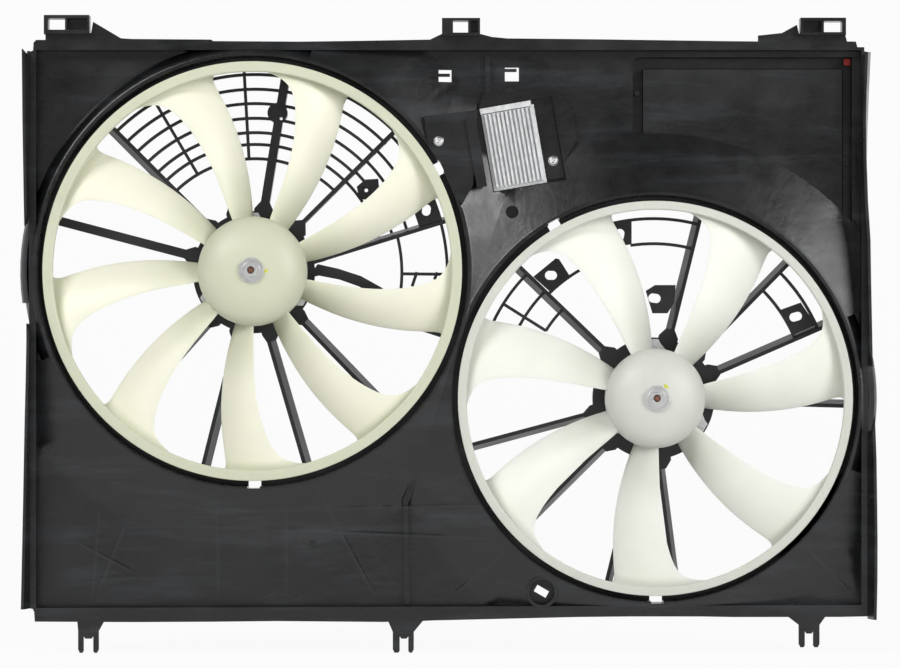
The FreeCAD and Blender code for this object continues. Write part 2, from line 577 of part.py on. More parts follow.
for side, f in fans.items():
    rimIn = "%s-labyrinth" % f["ring"]
    rimOut = "%s+tipGap+wall" % f["ring"]
    rim = turned(side + "_rim", [
        (rimIn, "barrelBack"), (rimOut, "barrelBack"), (rimOut, "barrelBack+statorWall"),
        (rimIn, "barrelBack+statorWall")], f["x"], f["z"])
    motorRing = turned(side + "_motor_ring", [
        ("motorRingInner", "barrelBack"), ("motorRingOuter", "barrelBack"),
        ("motorRingOuter", "barrelBack+strutDepth-2"), ("motorRingInner", "barrelBack+strutDepth-2")],
        f["x"], f["z"])
    arms = []
    for n, (angle, beside, width, leans) in enumerate(f["struts"]):
        low, high = "%s-%s/2" % (beside, width), "%s+%s/2" % (beside, width)
        edge = low + "+strutEdge" if leans else high
        vane = prism("%s_strut%d" % (side, n), [
            ("motorRingOuter-3", low), (rimOut + "-2", low), (rimOut + "-2", edge), ("motorRingOuter-3", edge)],
            "barrelBack", "strutDepth")
        if leans:
            lean = "(%s-strutEdge)" % width
            tie(vane, "Dir.z", lean + "/strutDepth")
            tie(vane, "LengthFwd", "sqrt(strutDepth*strutDepth+%s*%s)" % (lean, lean))
        root = prism("%s_root%d" % (side, n), [
            ("motorRingOuter-3", "-strutRoot/2"), ("motorRingOuter+2", "-strutRoot/2"),
            ("motorRingOuter+strutRootLength", low), ("motorRingOuter+strutRootLength", high),
            ("motorRingOuter+2", "strutRoot/2"), ("motorRingOuter-3", "strutRoot/2")],
            "barrelBack", "strutDepth-2")
        arms.append(swung(vane, f["x"], f["z"], angle))
        arms.append(swung(root, f["x"], f["z"], angle))
    drains = [swung(block("%s_drain%d" % (side, n), rimIn + "-2", "barrelBack-1", "-drainWidth/2",
                          "drainReach+labyrinth+2", "statorWall+2", "drainWidth"), f["x"], f["z"], angle)
              for n, angle in enumerate(f["drains"])]
    screwHoles = []
    for n in range(3):
        x, z = polar(f["x"], f["z"], "screwCircle", 90 + 120 * n)
        screwHoles.append(rod("%s_screw_hole%d" % (side, n), "screwRadius+0.05", "barrelBack-1",
                              "strutDepth+2", x, z))
        screwHoles.append(rod("%s_screw_seat%d" % (side, n), "screwRadius+2.5", "barrelBack+strutDepth-2",
                              "6", x, z))
    extras, room = [], []
    if side == "left":
        # cable arm: a bent arm that carries the motor lead to the strut on the right
        extras.append(prism("cable_arm", [
            (-121, 297.5), (-116, 304.5), (-98, 300.5), (-78, 294), (-60, 284), (-44, 270), (-37, 251),
            (-47, 254), (-53, 266.5), (-66, 277.5), (-80, 285), (-97, 291), (-115, 294.5), (-121, 293)],
            "barrelBack", "6"))
        # boss with a small hole halfway along the upper strut
        extras.append(rod("strut_boss", "8.8", "barrelBack", "strutDepth", "-151.3", "437.2"))
        screwHoles.append(rod("strut_boss_hole", "1.4", "barrelBack-1", "strutDepth+2", "-148.1", "432.2"))
    else:
        # the right side makes room for the left one's rim where the two circles cross
        room.append(rod("neighbour_rim", "leftRing+tipGap+wall+rimGap", "barrelBack-1", "strutDepth+2",
                        "leftX", "leftZ"))
    # the arms seat on the back of the rim and butt against its inner edge
    body = fused(side + "_stator_solid", [motorRing] + arms + extras)
    nodes[side + "_arms"] = arms + extras
    keep(side + "_rear_rim", cut(side + "_rim_cut", rim, drains + room))
    keep(side + "_stator", cut(side + "_stator_cut", body, [rim] + screwHoles + room))


def arcBar(name, f, radius, a0, a1, front="barrelBack+2", width="guardBar"):
    # a guard bar along an arc about a fan's axis
    inner, outer = "%s-%s/2" % (radius, width), "%s+%s/2" % (radius, width)
    pts = [polar("0", "0", inner, a0), polar("0", "0", outer, a0),
           polar("0", "0", outer, a1), polar("0", "0", inner, a1)]
    pts[1] = pts[1] + (outer,)
    pts[3] = pts[3] + ("-(%s)" % inner,)
    item = prism(name, pts, front, "guardDepth")
    return place(item, f["x"], 0, f["z"])


def radialBar(name, f, r0, r1, angle, width="guardBar"):
    return swung(block(name, r0, "barrelBack+2", "-%s/2" % width, "%s-(%s)" % (r1, r0), "guardDepth", width),
                 f["x"], f["z"], angle)


def oblong(name, x, z, length, width, angle):
    # a slot with round ends
    half = "(%s-%s)/2" % (length, width)
    slot = prism(name, [
        ("-" + half, "-%s/2" % width), (half, "-%s/2" % width, "0.51*%s" % width),
        (half, "%s/2" % width), ("-" + half, "%s/2" % width, "0.51*%s" % width)], "barrelBack", "10")
    return swung(slot, x, z, angle)


def tabPlate(name, points):
    # a harness tab: a flat plate between struts and bars
    return prism(name, points, "barrelBack+2", "guardDepth")


leftBars = [shifted(arcBar("left_bar%d" % i, fans["left"], r, 44.5, 135), "1.2", "0")
            for i, r in enumerate((173.6, 160.7, 148.1, 135.2, 122.6, 112.2, 99.7))]
leftBars += [shifted(radialBar("left_rib%d" % i, fans["left"], r0, 180, a), "1.2", "0")
             for i, (a, r0) in enumerate(((62.7, 100), (93.2, 100), (120.5, 100)))]
leftBars += [shifted(arcBar("left_side_bar%d" % i, fans["left"], r, 16, 44.8), "1.2", "0")
             for i, r in enumerate((169, 151, 138, 124.5, 112.5))]
leftBars += [shifted(arcBar("left_low_bar%d" % i, fans["left"], r, -18, 15), "1.2", "0")
             for i, r in enumerate((168.5, 128.6))]
leftBars.append(shifted(radialBar("left_low_rib", fans["left"], 128.6, 168.5, -0.6), "1.2", "0"))
leftBars += [ribbon("left_low_web%d" % i, path, "guardBar", "barrelBack+2", "guardDepth") for i, path in enumerate((
    [(-29, 297.6), (-33.2, 285)], [(-11, 297.4), (-13.6, 291)]))]
rightBars = [arcBar("right_bar%d" % i, fans["right"], r, a0, a1) for i, (r, a0, a1) in enumerate((
    (135, 23.5, 45.6), (156.7, 23.5, 45.6), (157.8, 76.1, 104.5), (135.8, 76.1, 98.5), (129.8, 104.5, 136),
    (155.7, 136, 155.8), (133.7, 136, 155.8), (111.5, 136, 148)))]
rightBars.append(radialBar("right_rib", fans["right"], 111.5, 155.7, 147.8))
tabs = {
    "left": [tabPlate("left_tab0", [(-74.5, 378.8), (-62.9, 379.5), (-62.1, 371.1), (-70.8, 361.1), (-79.6, 361.5),
                                    (-81.8, 372.5)]),
             tabPlate("left_tab1", [(-31.3, 349.9), (-13.8, 364.5), (-6.5, 341.8), (-26.9, 336.7)])],
    "right": [tabPlate("right_tab0", [(289.7, 264.3), (307.9, 270.9), (321.1, 251.1), (300.7, 242.3)]),
              tabPlate("right_tab1", [(171.9, 281.1), (180, 286.2), (198.2, 286.2), (196.7, 270.4), (191, 261.4),
                                      (177.8, 261.4)]),
              tabPlate("right_tab2", [(73.2, 293.5), (92.9, 309.7), (95.9, 308.9), (104.7, 295), (87.8, 280.3)]),
              tabPlate("right_tab3", [(134.6, 345.5), (138.7, 341.5), (159.5, 343.3), (159.5, 322), (141, 319)])]}
tabHoles = {
    "left": [rod("left_tab_hole", "1.6", "barrelBack", "10", "-73.4", "369.3"),
             oblong("left_tab_slot", "-20.7", "352", "11.4", "7.5", 83)],
    "right": [oblong("right_tab_slot0", "303.6", "258.4", "12.7", "7.6", 16),
              oblong("right_tab_slot1", "179.6", "274.6", "12.4", "8", -8),
              oblong("right_tab_slot2", "88.7", "294.7", "12", "7.9", 0),
              oblong("right_tab_slot3", "149", "330.1", "12.3", "7.9", 80)]}
for side, bars in (("left", leftBars), ("right", rightBars)):
    f = fans[side]
    inside = rod(side + "_guard_limit", "%s-labyrinth" % f["ring"], "barrelBack+1", "20", f["x"], f["z"])
    grid = shared(side + "_guard_inside", [fused(side + "_guard_bars", bars + tabs[side]), inside])
    keep(side + "_guard", cut(side + "_guard_cut", grid, tabHoles[side] + nodes[side + "_arms"]))
for side in fans:
    del nodes[side + "_arms"]


# ---------- corner cover and its clip ----------

coverFront = "panelDepth+1"
coverPoints = [
    ("pocketLeft+groove", "rightZ+195.8"), ("pocketLeft+groove", "trayTop-pocketMargin-6"),
    ("trayRight-14.3", "trayTop-pocketMargin-6"), ("trayRight-14.3", "353.2"), ("328.8", "316.5"),
    ("334.1", "303")]
coverBlock = prism("cover_block", coverPoints + [("rightX+60", "rightZ+60")], coverFront,
                   "panelDepth+pocketDepth-(%s)" % coverFront)
coverCore = prism("cover_core", [
    ("pocketLeft+groove+wall", "rightZ+196"), ("pocketLeft+groove+wall", "trayTop-pocketMargin-6-wall"),
    ("trayRight-14.3-wall", "trayTop-pocketMargin-6-wall"), ("trayRight-14.3-wall", "353.8"),
    ("326.2", "316.8"), ("330.4", "305"), ("rightX+60", "rightZ+60")], "panelDepth+1+wall", "40")
coverDrum = rod("cover_drum", "rightRing+tipGap+collarWidth+4.8", "-10", "90", "rightX", "rightZ")
coverInner = rod("cover_inner_drum", "rightRing+tipGap+collarWidth+4.8+wall", "-10", "90", "rightX", "rightZ")
keep("corner_cover", cut("cover_shell", cut("cover_cut", coverBlock, [coverDrum]),
                         [cut("cover_room", coverCore, [coverInner])]))
clip = fused("clip_solid", [
    block("clip_head", "trayRight-13.5", "panelDepth+2", "trayTop-pocketMargin-3", "6", "3", "6"),
    block("clip_leg", "trayRight-11.5", "panelDepth+5", "trayTop-pocketMargin-1.2", "2.4",
          "pocketDepth-5", "2.4")])
keep("cover_clip", clip)


# ---------- control module ----------

def atModule(item):
    return swung(item, "moduleX", "moduleZ", "moduleTilt")


rear = "panelDepth+wall"
base = block("sink_base", "-sinkWidth/2-sinkRim", rear + "-0.8-sinkBase", "-sinkHeight/2-sinkRim",
             "sinkWidth+2*sinkRim", "sinkBase", "sinkHeight+2*sinkRim")
fins = []
for i in range(12):
    fins.append(block("fin%d" % i, "-sinkWidth/2+%d*(sinkWidth-finThick)/11" % i,
                      rear + "-0.8-sinkBase-finRise", "-sinkHeight/2", "finThick", "finRise+0.5", "sinkHeight"))
topBar = block("sink_top_bar", "-sinkWidth/2-3", rear + "-0.8-sinkBase-finRise-0.5", "sinkHeight/2+0.8",
               "sinkWidth+3", "finRise+1", "4.8")
keep("module_heat_sink", atModule(fused("sink_solid", [base, topBar] + fins)))
keep("module_gasket", atModule(cut("gasket_ring", block(
    "gasket_block", "-sinkWidth/2-sinkRim", rear + "-0.8", "-sinkHeight/2-sinkRim", "sinkWidth+2*sinkRim", "0.8",
    "sinkHeight+2*sinkRim"), [
        block("gasket_window", "-sinkWidth/2+1.5", rear + "-2", "-sinkHeight/2+1.5", "sinkWidth-3", "4",
              "sinkHeight-3")])))
house = block("housing_block", "-sinkWidth/2-9", rear, "-sinkHeight/2-9", "sinkWidth+33",
              "moduleBoxDepth", "sinkHeight+18")
room = block("housing_room", "-sinkWidth/2-9+moduleWall", rear + "+3", "-sinkHeight/2-9+moduleWall",
             "sinkWidth+33-2*moduleWall", "moduleBoxDepth", "sinkHeight+18-2*moduleWall")
sinkWindow = block("housing_window", "-sinkWidth/2+1.5", rear + "-1", "-sinkHeight/2+1.5", "sinkWidth-3",
                   "10", "sinkHeight-3")
posts = [rod("housing_post%d" % i, "3", rear + "+2", "7", x, z) for i, (x, z) in enumerate((
    ("-sinkWidth/2-4", "-sinkHeight/2-4"), ("-sinkWidth/2-4", "sinkHeight/2+4"),
    ("sinkWidth/2+18", "-sinkHeight/2-4"), ("sinkWidth/2+18", "sinkHeight/2+4")))]
connectorGap = block("housing_connector_gap", "-12", rear + "+moduleBoxDepth-12.3", "-sinkHeight/2-12",
                     "24", "13", "6")
screwPad = block("housing_pad", "sinkWidth/2+sinkRim+1", rear + "-3.8", "-sinkHeight/2-0.5", "15", "4.3",
                 "sinkHeight+1")
keep("module_housing", atModule(cut("housing_cut", fused("housing_solid", [
    cut("housing_shell", house, [room, sinkWindow, connectorGap]), screwPad] + posts), [
        rod("housing_screw_hole", "1.7", rear + "-5", "16", "sinkWidth/2+11", "-17")])))
board = block("board_plate", "-sinkWidth/2-6.5", rear + "+9", "-sinkHeight/2-6.5", "sinkWidth+28", "1.6",
              "sinkHeight+13")
parts = [block("board_part%d" % i, x, rear + "+10.6-0.05", z, w, d, t) for i, (x, z, w, d, t) in enumerate((
    ("-18", "8", "14", "5", "14"), ("2", "10", "12", "7", "10"), ("-20", "-22", "9", "4", "12"),
    ("18", "-26", "14", "6", "20"), ("-4", "-20", "12", "3", "12")))]
parts += [rod("board_can%d" % i, "4.5", rear + "+10.55", "9", x, z)
          for i, (x, z) in enumerate((("26", "18"), ("26", "6")))]
keep("module_circuit_board", atModule(fused("board_solid", [board] + parts)))
keep("module_cover", atModule(block(
    "cover_plate", "-sinkWidth/2-9", rear + "+moduleBoxDepth", "-sinkHeight/2-9", "sinkWidth+33", "2.2",
    "sinkHeight+18")))
socketBody = block("socket_body", "-11.7", rear + "+moduleBoxDepth-12", "-sinkHeight/2-25", "23.4", "11.7", "18")
socketRoom = block("socket_room", "-9.7", rear + "+moduleBoxDepth-10", "-sinkHeight/2-27", "19.4", "7.7", "13")
pins = [block("socket_pin%d" % i, "-8.2+%d*4.6" % i, rear + "+moduleBoxDepth-7.5", "-sinkHeight/2-21",
              "2.2", "1.2", "11") for i in range(4)]
keep("module_connector", atModule(fused("socket_solid", [cut("socket_shell", socketBody, [socketRoom])] + pins)))
sinkScrew = atModule(fused("sink_screw", [
    rod("sink_screw_head", "4", rear + "-3.8-2.4", "2.4", "sinkWidth/2+11", "-17"),
    rod("sink_screw_shank", "1.65", rear + "-3.8-0.5", "10.5", "sinkWidth/2+11", "-17")]))
plateScrew = fused("plate_screw", [
    rod("plate_screw_head", "4", padFront + "-2.4", "2.4", "-9.9", "410.3"),
    rod("plate_screw_shank", "1.65", padFront + "-0.5", "12", "-9.9", "410.3")])
keep("module_screws", grouped("screw_pair", [sinkScrew, plateScrew]))


# ---------- motors ----------

for side, f in fans.items():
    x, z = f["x"], f["z"]
    bore = "shaftRadius+runningGap"
    keep(side + "_motor_can", turned(side + "_can", [
        ("canRadius-canWall", "canBack"), ("canRadius-canWall", "canFront+canWall"),
        ("bearingRadius", "canFront+canWall"), ("bearingRadius", "noseFront+canWall"),
        ("shaftRadius+1.2", "noseFront+canWall"), ("shaftRadius+1.2", "noseFront"),
        ("noseRadius-1.5", "noseFront"), ("noseRadius", "noseFront+1.5"), ("noseRadius", "canFront"),
        ("canRadius-3", "canFront"), ("canRadius", "canFront+3"), ("canRadius", "canBack")], x, z))
    ring = turned(side + "_plate_ring", [
        ("canRadius", "barrelBack-earThick"), ("canRadius+4.5", "barrelBack-earThick"),
        ("canRadius+4.5", "barrelBack"), ("canRadius", "barrelBack")], x, z)
    ears, earHoles = [], []
    for n in range(3):
        angle = 90 + 120 * n
        ears.append(swung(prism("%s_ear%d" % (side, n), [
            ("canRadius+2", "-13"), ("screwCircle", "-6"), ("earRadius-1.5", "-4"), ("earRadius-1.5", "4"),
            ("screwCircle", "6"), ("canRadius+2", "13")], "barrelBack-earThick", "earThick"), x, z, angle))
        hx, hz = polar(x, z, "screwCircle", angle)
        earHoles.append(rod("%s_ear_hole%d" % (side, n), "screwRadius", "barrelBack-earThick-1",
                            "earThick+2", hx, hz))
    keep(side + "_mount_plate", cut(side + "_plate_cut", fused(side + "_plate_solid", [ring] + ears), earHoles))
    arcs = []
    for n in range(4):
        a0 = 45 + 90 * n - 34
        a1 = 45 + 90 * n + 34
        arcs.append(place(prism("%s_magnet%d" % (side, n), [
            polar("0", "0", "magnetInner", a0), polar("0", "0", "(canRadius-canWall)", a0) + ("canRadius-canWall",),
            polar("0", "0", "(canRadius-canWall)", a1), polar("0", "0", "magnetInner", a1) + ("-magnetInner",)],
            "magnetFront", "magnetBack-magnetFront"), x, 0, z))
    keep(side + "_magnets", grouped(side + "_magnet_set", arcs))
    keep(side + "_front_bearing", turned(side + "_bearing_front", [
        (bore, "noseFront+canWall"), ("bearingRadius", "noseFront+canWall"),
        ("bearingRadius", "noseFront+canWall+bearingLength"), (bore, "noseFront+canWall+bearingLength")], x, z))
    keep(side + "_rear_bearing", turned(side + "_bearing_rear", [
        (bore, "canBack+0.5"), ("bearingRadius", "canBack+0.5"),
        ("bearingRadius", "canBack+0.5+bearingLength"), (bore, "canBack+0.5+bearingLength")], x, z))
    keep(side + "_motor_end_plate", turned(side + "_end", [
        ("bearingRadius", "canBack"), ("canRadius", "canBack"), ("canRadius", "canBack+endPlateThick"),
        ("rearBoss", "canBack+endPlateThick"), ("rearBoss", "canBack+endPlateThick+rearBossLength-1.5"),
        ("rearBoss-1.5", "canBack+endPlateThick+rearBossLength"),
        ("0", "canBack+endPlateThick+rearBossLength"), ("0", "canBack+endPlateThick+rearBossLength-1.5"),
        ("bearingRadius", "canBack+endPlateThick+rearBossLength-1.5")], x, z))
    # brush gear: a card across the can with two brushes, each pressed in by a leaf spring
    cardFront = "commutatorBack+0.6"
    card = turned(side + "_card_disc", [
        ("bearingRadius", cardFront), ("canRadius-canWall", cardFront),
        ("canRadius-canWall", cardFront + "+2"), ("bearingRadius", cardFront + "+2")], x, z)
    cheeks, brushes, springs = [], [], []
    for n, angle in enumerate((0, 180)):
        start = "commutatorRadius+brushGap"
        for m, offset in enumerate(("-brushWidth/2-1.5", "brushWidth/2")):
            cheeks.append(swung(block("%s_cheek%d%d" % (side, n, m), start + "+1.5", cardFront + "-5.5", offset,
                                      "brushLength+2", "6", "1.5"), x, z, angle))
        cheeks.append(swung(block("%s_post%d" % (side, n), start + "+brushLength+4.5", cardFront + "-4.5", "-3",
                                  "2", "5", "6"), x, z, angle))
        brushes.append(swung(block("%s_brush%d" % (side, n), start, cardFront + "-5", "-brushWidth/2",
                                   "brushLength", "5", "brushWidth"), x, z, angle))
        springs.append(swung(prism("%s_spring%d" % (side, n), [
            (start + "+brushLength", "-2"), (start + "+brushLength+0.5", "-2"),
            (start + "+brushLength+4.5", "2.3"), (start + "+brushLength+4.5", "3"),
            (start + "+brushLength+4.1", "3"), (start + "+brushLength", "-1.4")],
            cardFront + "-4", "3"), x, z, angle))
    keep(side + "_brush_card", fused(side + "_card_solid", [card] + cheeks))
    keep(side + "_brushes", grouped(side + "_brush_pair", brushes))
    keep(side + "_brush_springs", grouped(side + "_spring_pair", springs))
    plug = shifted(block(side + "_plug", "-11", "canBack+endPlateThick", "-34", "22", "11", "17"), x, z)
    plugRoom = shifted(block(side + "_plug_room", "-9", "canBack+endPlateThick+2", "-36", "18", "7", "15"),
                       x, z)
    plugPins = [shifted(block("%s_plug_pin%d" % (side, n), dx, "canBack+endPlateThick+5", "-31.5", "3.5", "1",
                            "12"), x, z) for n, dx in enumerate(("-6.5", "3"))]
    keep(side + "_motor_socket", fused(side + "_plug_solid", [
        cut(side + "_plug_shell", plug, [plugRoom])] + plugPins))

screws = []
for side, f in fans.items():
    for n in range(3):
        x, z = polar(f["x"], f["z"], "screwCircle", 90 + 120 * n)
        screws.append(fused("%s_motor_screw%d" % (side, n), [
            rod("%s_screw_shank%d" % (side, n), "screwRadius", "barrelBack-earThick", "earThick+strutDepth", x, z),
            rod("%s_screw_head%d" % (side, n), "screwRadius+2.2", "barrelBack+strutDepth-2", "3", x, z)]))
keep("motor_screws", grouped("motor_screw_set", screws))


# ---------- fans with shafts and armatures ----------

def edgeOffset(distance, law, middle):
    # where a blade's edge, given as an angle for each radius, meets the plane of a station
    reach = distance
    for step in range(6):
        angle = math.radians(law(reach) - middle)
        reach = distance / math.cos(angle)
    return distance * math.tan(angle)


def bladeShape(f):
    # stations from hub to ring; each is a cambered strip whose leading edge lies forward,
    # on the anticlockwise side, and flares out where it meets the ring
    hub, ring = size(f["hub"]), size(f["ring"])
    bore = ring - size(f["lip"])
    span = bore - hub
    wall = size("hubWall")
    flare = size("boreFlare")
    middle = size(f["fore"]) - 3

    def back(radius):
        t = max(0, (radius - hub) / span)
        flare = 1.6 * math.exp(min(0, radius - bore) / 3)
        return size(f["back"]) + size("bladeSweepBack") * min(t, 1.02) ** 1.35 - flare

    def fore(radius):
        t = max(0, min((radius - hub) / span, 1.02))
        flare = size("bladeFillet") * math.exp(min(0, radius - bore) / 5.5)
        return size(f["fore"]) + size(f["sweep"]) * t ** 2.2 - 5.2 * t * (1 - t) + flare

    sections = []
    stations = 10
    steps = 7
    for i in range(stations):
        t = 1 - (1 - i / (stations - 1)) ** 1.3
        distance = hub - wall - 1.5 + t * (bore + flare + 2 - (hub - wall - 1.5))
        start = edgeOffset(distance, back, middle)
        end = edgeOffset(distance, fore, middle)
        rise = size("rootRise") + (size("tipRise") - size("rootRise")) * t
        center = size("bladeMiddle") + 1.6 * t
        frontSide, rearSide = [], []
        for k in range(steps + 1):
            u = k / steps
            along = start + (end - start) * u
            depth = center + rise * (1 - 2 * u) - 3 * math.sin(math.pi * u)
            half = size("bladeThick") / 2 * (0.4 + 0.6 * math.sin(math.pi * u))
            frontSide.append(FreeCAD.Vector(distance, depth - half, along))
            rearSide.append(FreeCAD.Vector(distance, depth + half, along))
        sections.append(Part.makePolygon(frontSide + rearSide[::-1] + [frontSide[0]]))
    blade = Part.makeLoft(sections, True, True)
    reach = bore + size("ringWall") / 2
    front, rear = size("ringFront+5"), size("ringBack")
    outer = Part.Face(Part.makePolygon([
        FreeCAD.Vector(0, -30, 0), FreeCAD.Vector(reach, -30, 0), FreeCAD.Vector(reach, front, 0),
        FreeCAD.Vector(reach + flare, rear, 0), FreeCAD.Vector(reach + flare, 50, 0), FreeCAD.Vector(0, 50, 0),
        FreeCAD.Vector(0, -30, 0)])).revolve(FreeCAD.Vector(0, 0, 0), FreeCAD.Vector(0, 1, 0), 360)
    inner = Part.makeCylinder(hub - wall / 2, 80, FreeCAD.Vector(0, -30, 0), FreeCAD.Vector(0, 1, 0))
    blade = blade.common(outer).cut(inner)
    blade.rotate(FreeCAD.Vector(0, 0, 0), FreeCAD.Vector(0, -1, 0), middle)
    return blade


for side, f in fans.items():
    x, z = f["x"], f["z"]
    ringIn = "%s-%s" % (f["ring"], f["lip"])
    ring = turned(side + "_fan_ring", [
        (ringIn + "+boreFlare", "ringBack"), (ringIn, "ringFront+5"), (ringIn, "ringFront+1"),
        (ringIn + "+0.8", "ringFront+0.2"), (ringIn + "+2.2", "ringFront"), (f["ring"] + "-1", "ringFront"),
        (f["ring"], "ringFront+1"), (f["ring"], "ringFront+lipDepth"),
        (f["ring"] + "-ringWall", "ringFront+lipDepth"), (f["ring"] + "-ringWall", "ringFront+ringWall"),
        (ringIn + "+ringWall+0.4", "ringFront+ringWall"), (ringIn + "+ringWall", "ringFront+5"),
        (ringIn + "+boreFlare+ringWall", "ringBack")], x, z)
    hub = turned(side + "_fan_hub", [
        (f["hub"], "hubBack"), (f["hub"], "hubShoulder-4"), (f["hub"] + "-2.4", "hubShoulder-9"),
        (f["hub"] + "-8", "hubShoulder-12.6"), (f["hub"] + "*0.6", "hubShoulder-17.4"),
        ("insertRadius+1.5", "hubShoulder-domeHeight"), ("sleeveRadius", "hubShoulder-domeHeight"),
        ("sleeveRadius", "hubShoulder-13.5"),
        ("sleeveRadius+3", "hubShoulder-13.5"), ("sleeveRadius+4", "hubShoulder-domeHeight+hubWall"),
        (f["hub"] + "*0.6-1", "hubShoulder-17.4+hubWall"), (f["hub"] + "-9", "hubShoulder-12.6+hubWall"),
        (f["hub"] + "-hubWall-1.4", "hubShoulder-7.4"), (f["hub"] + "-hubWall", "hubShoulder-4"),
        (f["hub"] + "-hubWall", "hubBack")], x, z)
    blade = bladeShape(f)
    blades = []
    count = int(size(f["blades"]))
    for n in range(count):
        item = doc.addObject("Part::Feature", "%s_blade%d" % (side, n))
        item.Shape = blade
        item.Placement = FreeCAD.Placement(
            FreeCAD.Vector(size(x), 0, size(z)),
            FreeCAD.Rotation(FreeCAD.Vector(0, -1, 0), size(f["start"]) + 360 / count * n))
        blades.append(item)
    # the seams of ring and hub are turned into gaps between blades
    swung(ring, x, z, f["seams"][0])
    swung(hub, x, z, f["seams"][1])
    bladed = fused(side + "_bladed_hub", [hub] + blades)
    bladed.Refine = False
    whole = fused(side + "_fan_solid", [bladed, ring])
    whole.Refine = False
    keep(side + "_fan", whole)
    crown = "hubShoulder-domeHeight"
    keep(side + "_hub_insert", turned(side + "_insert", [
        ("shaftRadius", "hubShoulder-13.5"), ("sleeveRadius", "hubShoulder-13.5"), ("sleeveRadius", crown),
        ("insertRadius", crown), ("insertRadius", crown + "-insertFlange"),
        ("insertRadius-1.6", crown + "-insertFlange"), ("insertRadius-1.6", crown + "-insertFlange+0.9"),
        ("nutFlange+0.2", crown + "-insertFlange+0.9"), ("nutFlange+0.2", crown + "-insertFlange+0.5"),
        ("shaftRadius", crown + "-insertFlange+0.5")], x, z))
    seat = crown + "-insertFlange+0.5"
    hexagon = swung(prism(side + "_nut_hexagon", [
        ("nutFlats/2/cos(30deg)*cos(%ddeg)" % a, "nutFlats/2/cos(30deg)*sin(%ddeg)" % a)
        for a in range(0, 360, 60)], seat + "-nutHeight", "nutHeight-1"), x, z, "8")
    flangeDisc = rod(side + "_nut_flange", "nutFlange", seat + "-1.6", "1.6", x, z)
    keep(side + "_fan_nut", cut(side + "_nut_cut", fused(side + "_nut_solid", [hexagon, flangeDisc]), [
        rod(side + "_nut_thread", "shaftRadius-0.9", seat + "-20", "40", x, z)]))
    tip = seat + "-nutHeight-0.8"
    keep(side + "_shaft", turned(side + "_spindle", [
        ("0", tip), ("shaftRadius-1.7", tip), ("shaftRadius-0.9", tip + "+0.8"), ("shaftRadius-0.9", seat),
        ("shaftRadius", seat), ("shaftRadius", "canBack+endPlateThick+4.2"),
        ("0", "canBack+endPlateThick+4.2")], x, z))
    slots = [polar("0", "0", "coreRadius-5", 36 * n) + ("4",) for n in range(10)]
    keep(side + "_armature_core", plate(side + "_core", [], "coreFront", "coreBack-coreFront", x, z,
                                        [("0", "0", "coreRadius"), ("0", "0", "shaftRadius")] + slots))
    turns = [turned(side + "_front_turns", [
        ("shaftRadius+5", "coreFront"), ("shaftRadius+5", "coreFront-5"), ("coreRadius-2.5", "coreFront-5"),
        ("coreRadius-1", "coreFront-3.5"), ("coreRadius-1", "coreFront")], x, z),
        turned(side + "_rear_turns", [
            ("shaftRadius+5", "coreBack"), ("coreRadius-1", "coreBack"), ("coreRadius-1", "coreBack+3.5"),
            ("coreRadius-2.5", "coreBack+5"), ("shaftRadius+5", "coreBack+5")], x, z)]
    for n in range(10):
        wx, wz = polar(x, z, "coreRadius-5", 36 * n)
        turns.append(rod("%s_wires%d" % (side, n), "3.9", "coreFront-1", "coreBack-coreFront+2", wx, wz))
    keep(side + "_windings", fused(side + "_winding_solid", turns))
    keep(side + "_commutator", turned(side + "_bars", [
        ("shaftRadius", "coreBack+5.4"), ("commutatorRadius+1.6", "coreBack+5.4"),
        ("commutatorRadius+1.6", "commutatorFront+1"), ("commutatorRadius", "commutatorFront+1"),
        ("commutatorRadius", "commutatorBack"), ("shaftRadius", "commutatorBack")], x, z))


# ---------- checks and export ----------

doc.recompute()
for item in doc.Objects:
    if "Invalid" in item.State or "Error" in item.State:
        raise RuntimeError("%s did not rebuild" % item.Name)
for node, item in nodes.items():
    if item.Shape.isNull() or not item.Shape.isValid():
        raise RuntimeError("%s has no valid shape" % node)
os.makedirs("parts", exist_ok=True)
for node, item in nodes.items():
    item.Shape.exportStep("parts/%s.step" % node)
print("built %d nodes" % len(nodes))
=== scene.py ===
import bpy
import bmesh
import json
import math
import numpy as np
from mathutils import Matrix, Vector


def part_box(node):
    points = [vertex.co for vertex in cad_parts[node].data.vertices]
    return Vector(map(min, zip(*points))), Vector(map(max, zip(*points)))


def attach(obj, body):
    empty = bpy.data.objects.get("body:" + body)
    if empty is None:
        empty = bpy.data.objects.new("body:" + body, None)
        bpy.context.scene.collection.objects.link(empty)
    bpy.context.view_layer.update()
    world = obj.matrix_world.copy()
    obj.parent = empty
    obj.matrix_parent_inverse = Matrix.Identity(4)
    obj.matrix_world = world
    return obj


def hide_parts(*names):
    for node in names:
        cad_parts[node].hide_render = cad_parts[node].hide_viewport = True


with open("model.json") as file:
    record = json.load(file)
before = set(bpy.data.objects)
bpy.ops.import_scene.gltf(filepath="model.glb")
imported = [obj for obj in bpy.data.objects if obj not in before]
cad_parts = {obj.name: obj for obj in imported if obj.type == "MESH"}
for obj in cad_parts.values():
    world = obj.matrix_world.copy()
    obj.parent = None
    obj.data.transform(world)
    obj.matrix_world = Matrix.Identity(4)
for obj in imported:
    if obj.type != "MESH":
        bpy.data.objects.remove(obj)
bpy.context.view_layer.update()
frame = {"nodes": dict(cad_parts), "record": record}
print("frame loaded:", len(frame["nodes"]), "nodes")


# small tools

def hexColor(text):
    # sRGB hex to linear, with alpha 1
    parts = [int(text[i:i + 2], 16) / 255 for i in (1, 3, 5)]
    return [p / 12.92 if p <= 0.04045 else ((p + 0.055) / 1.055) ** 2.4 for p in parts] + [1.0]


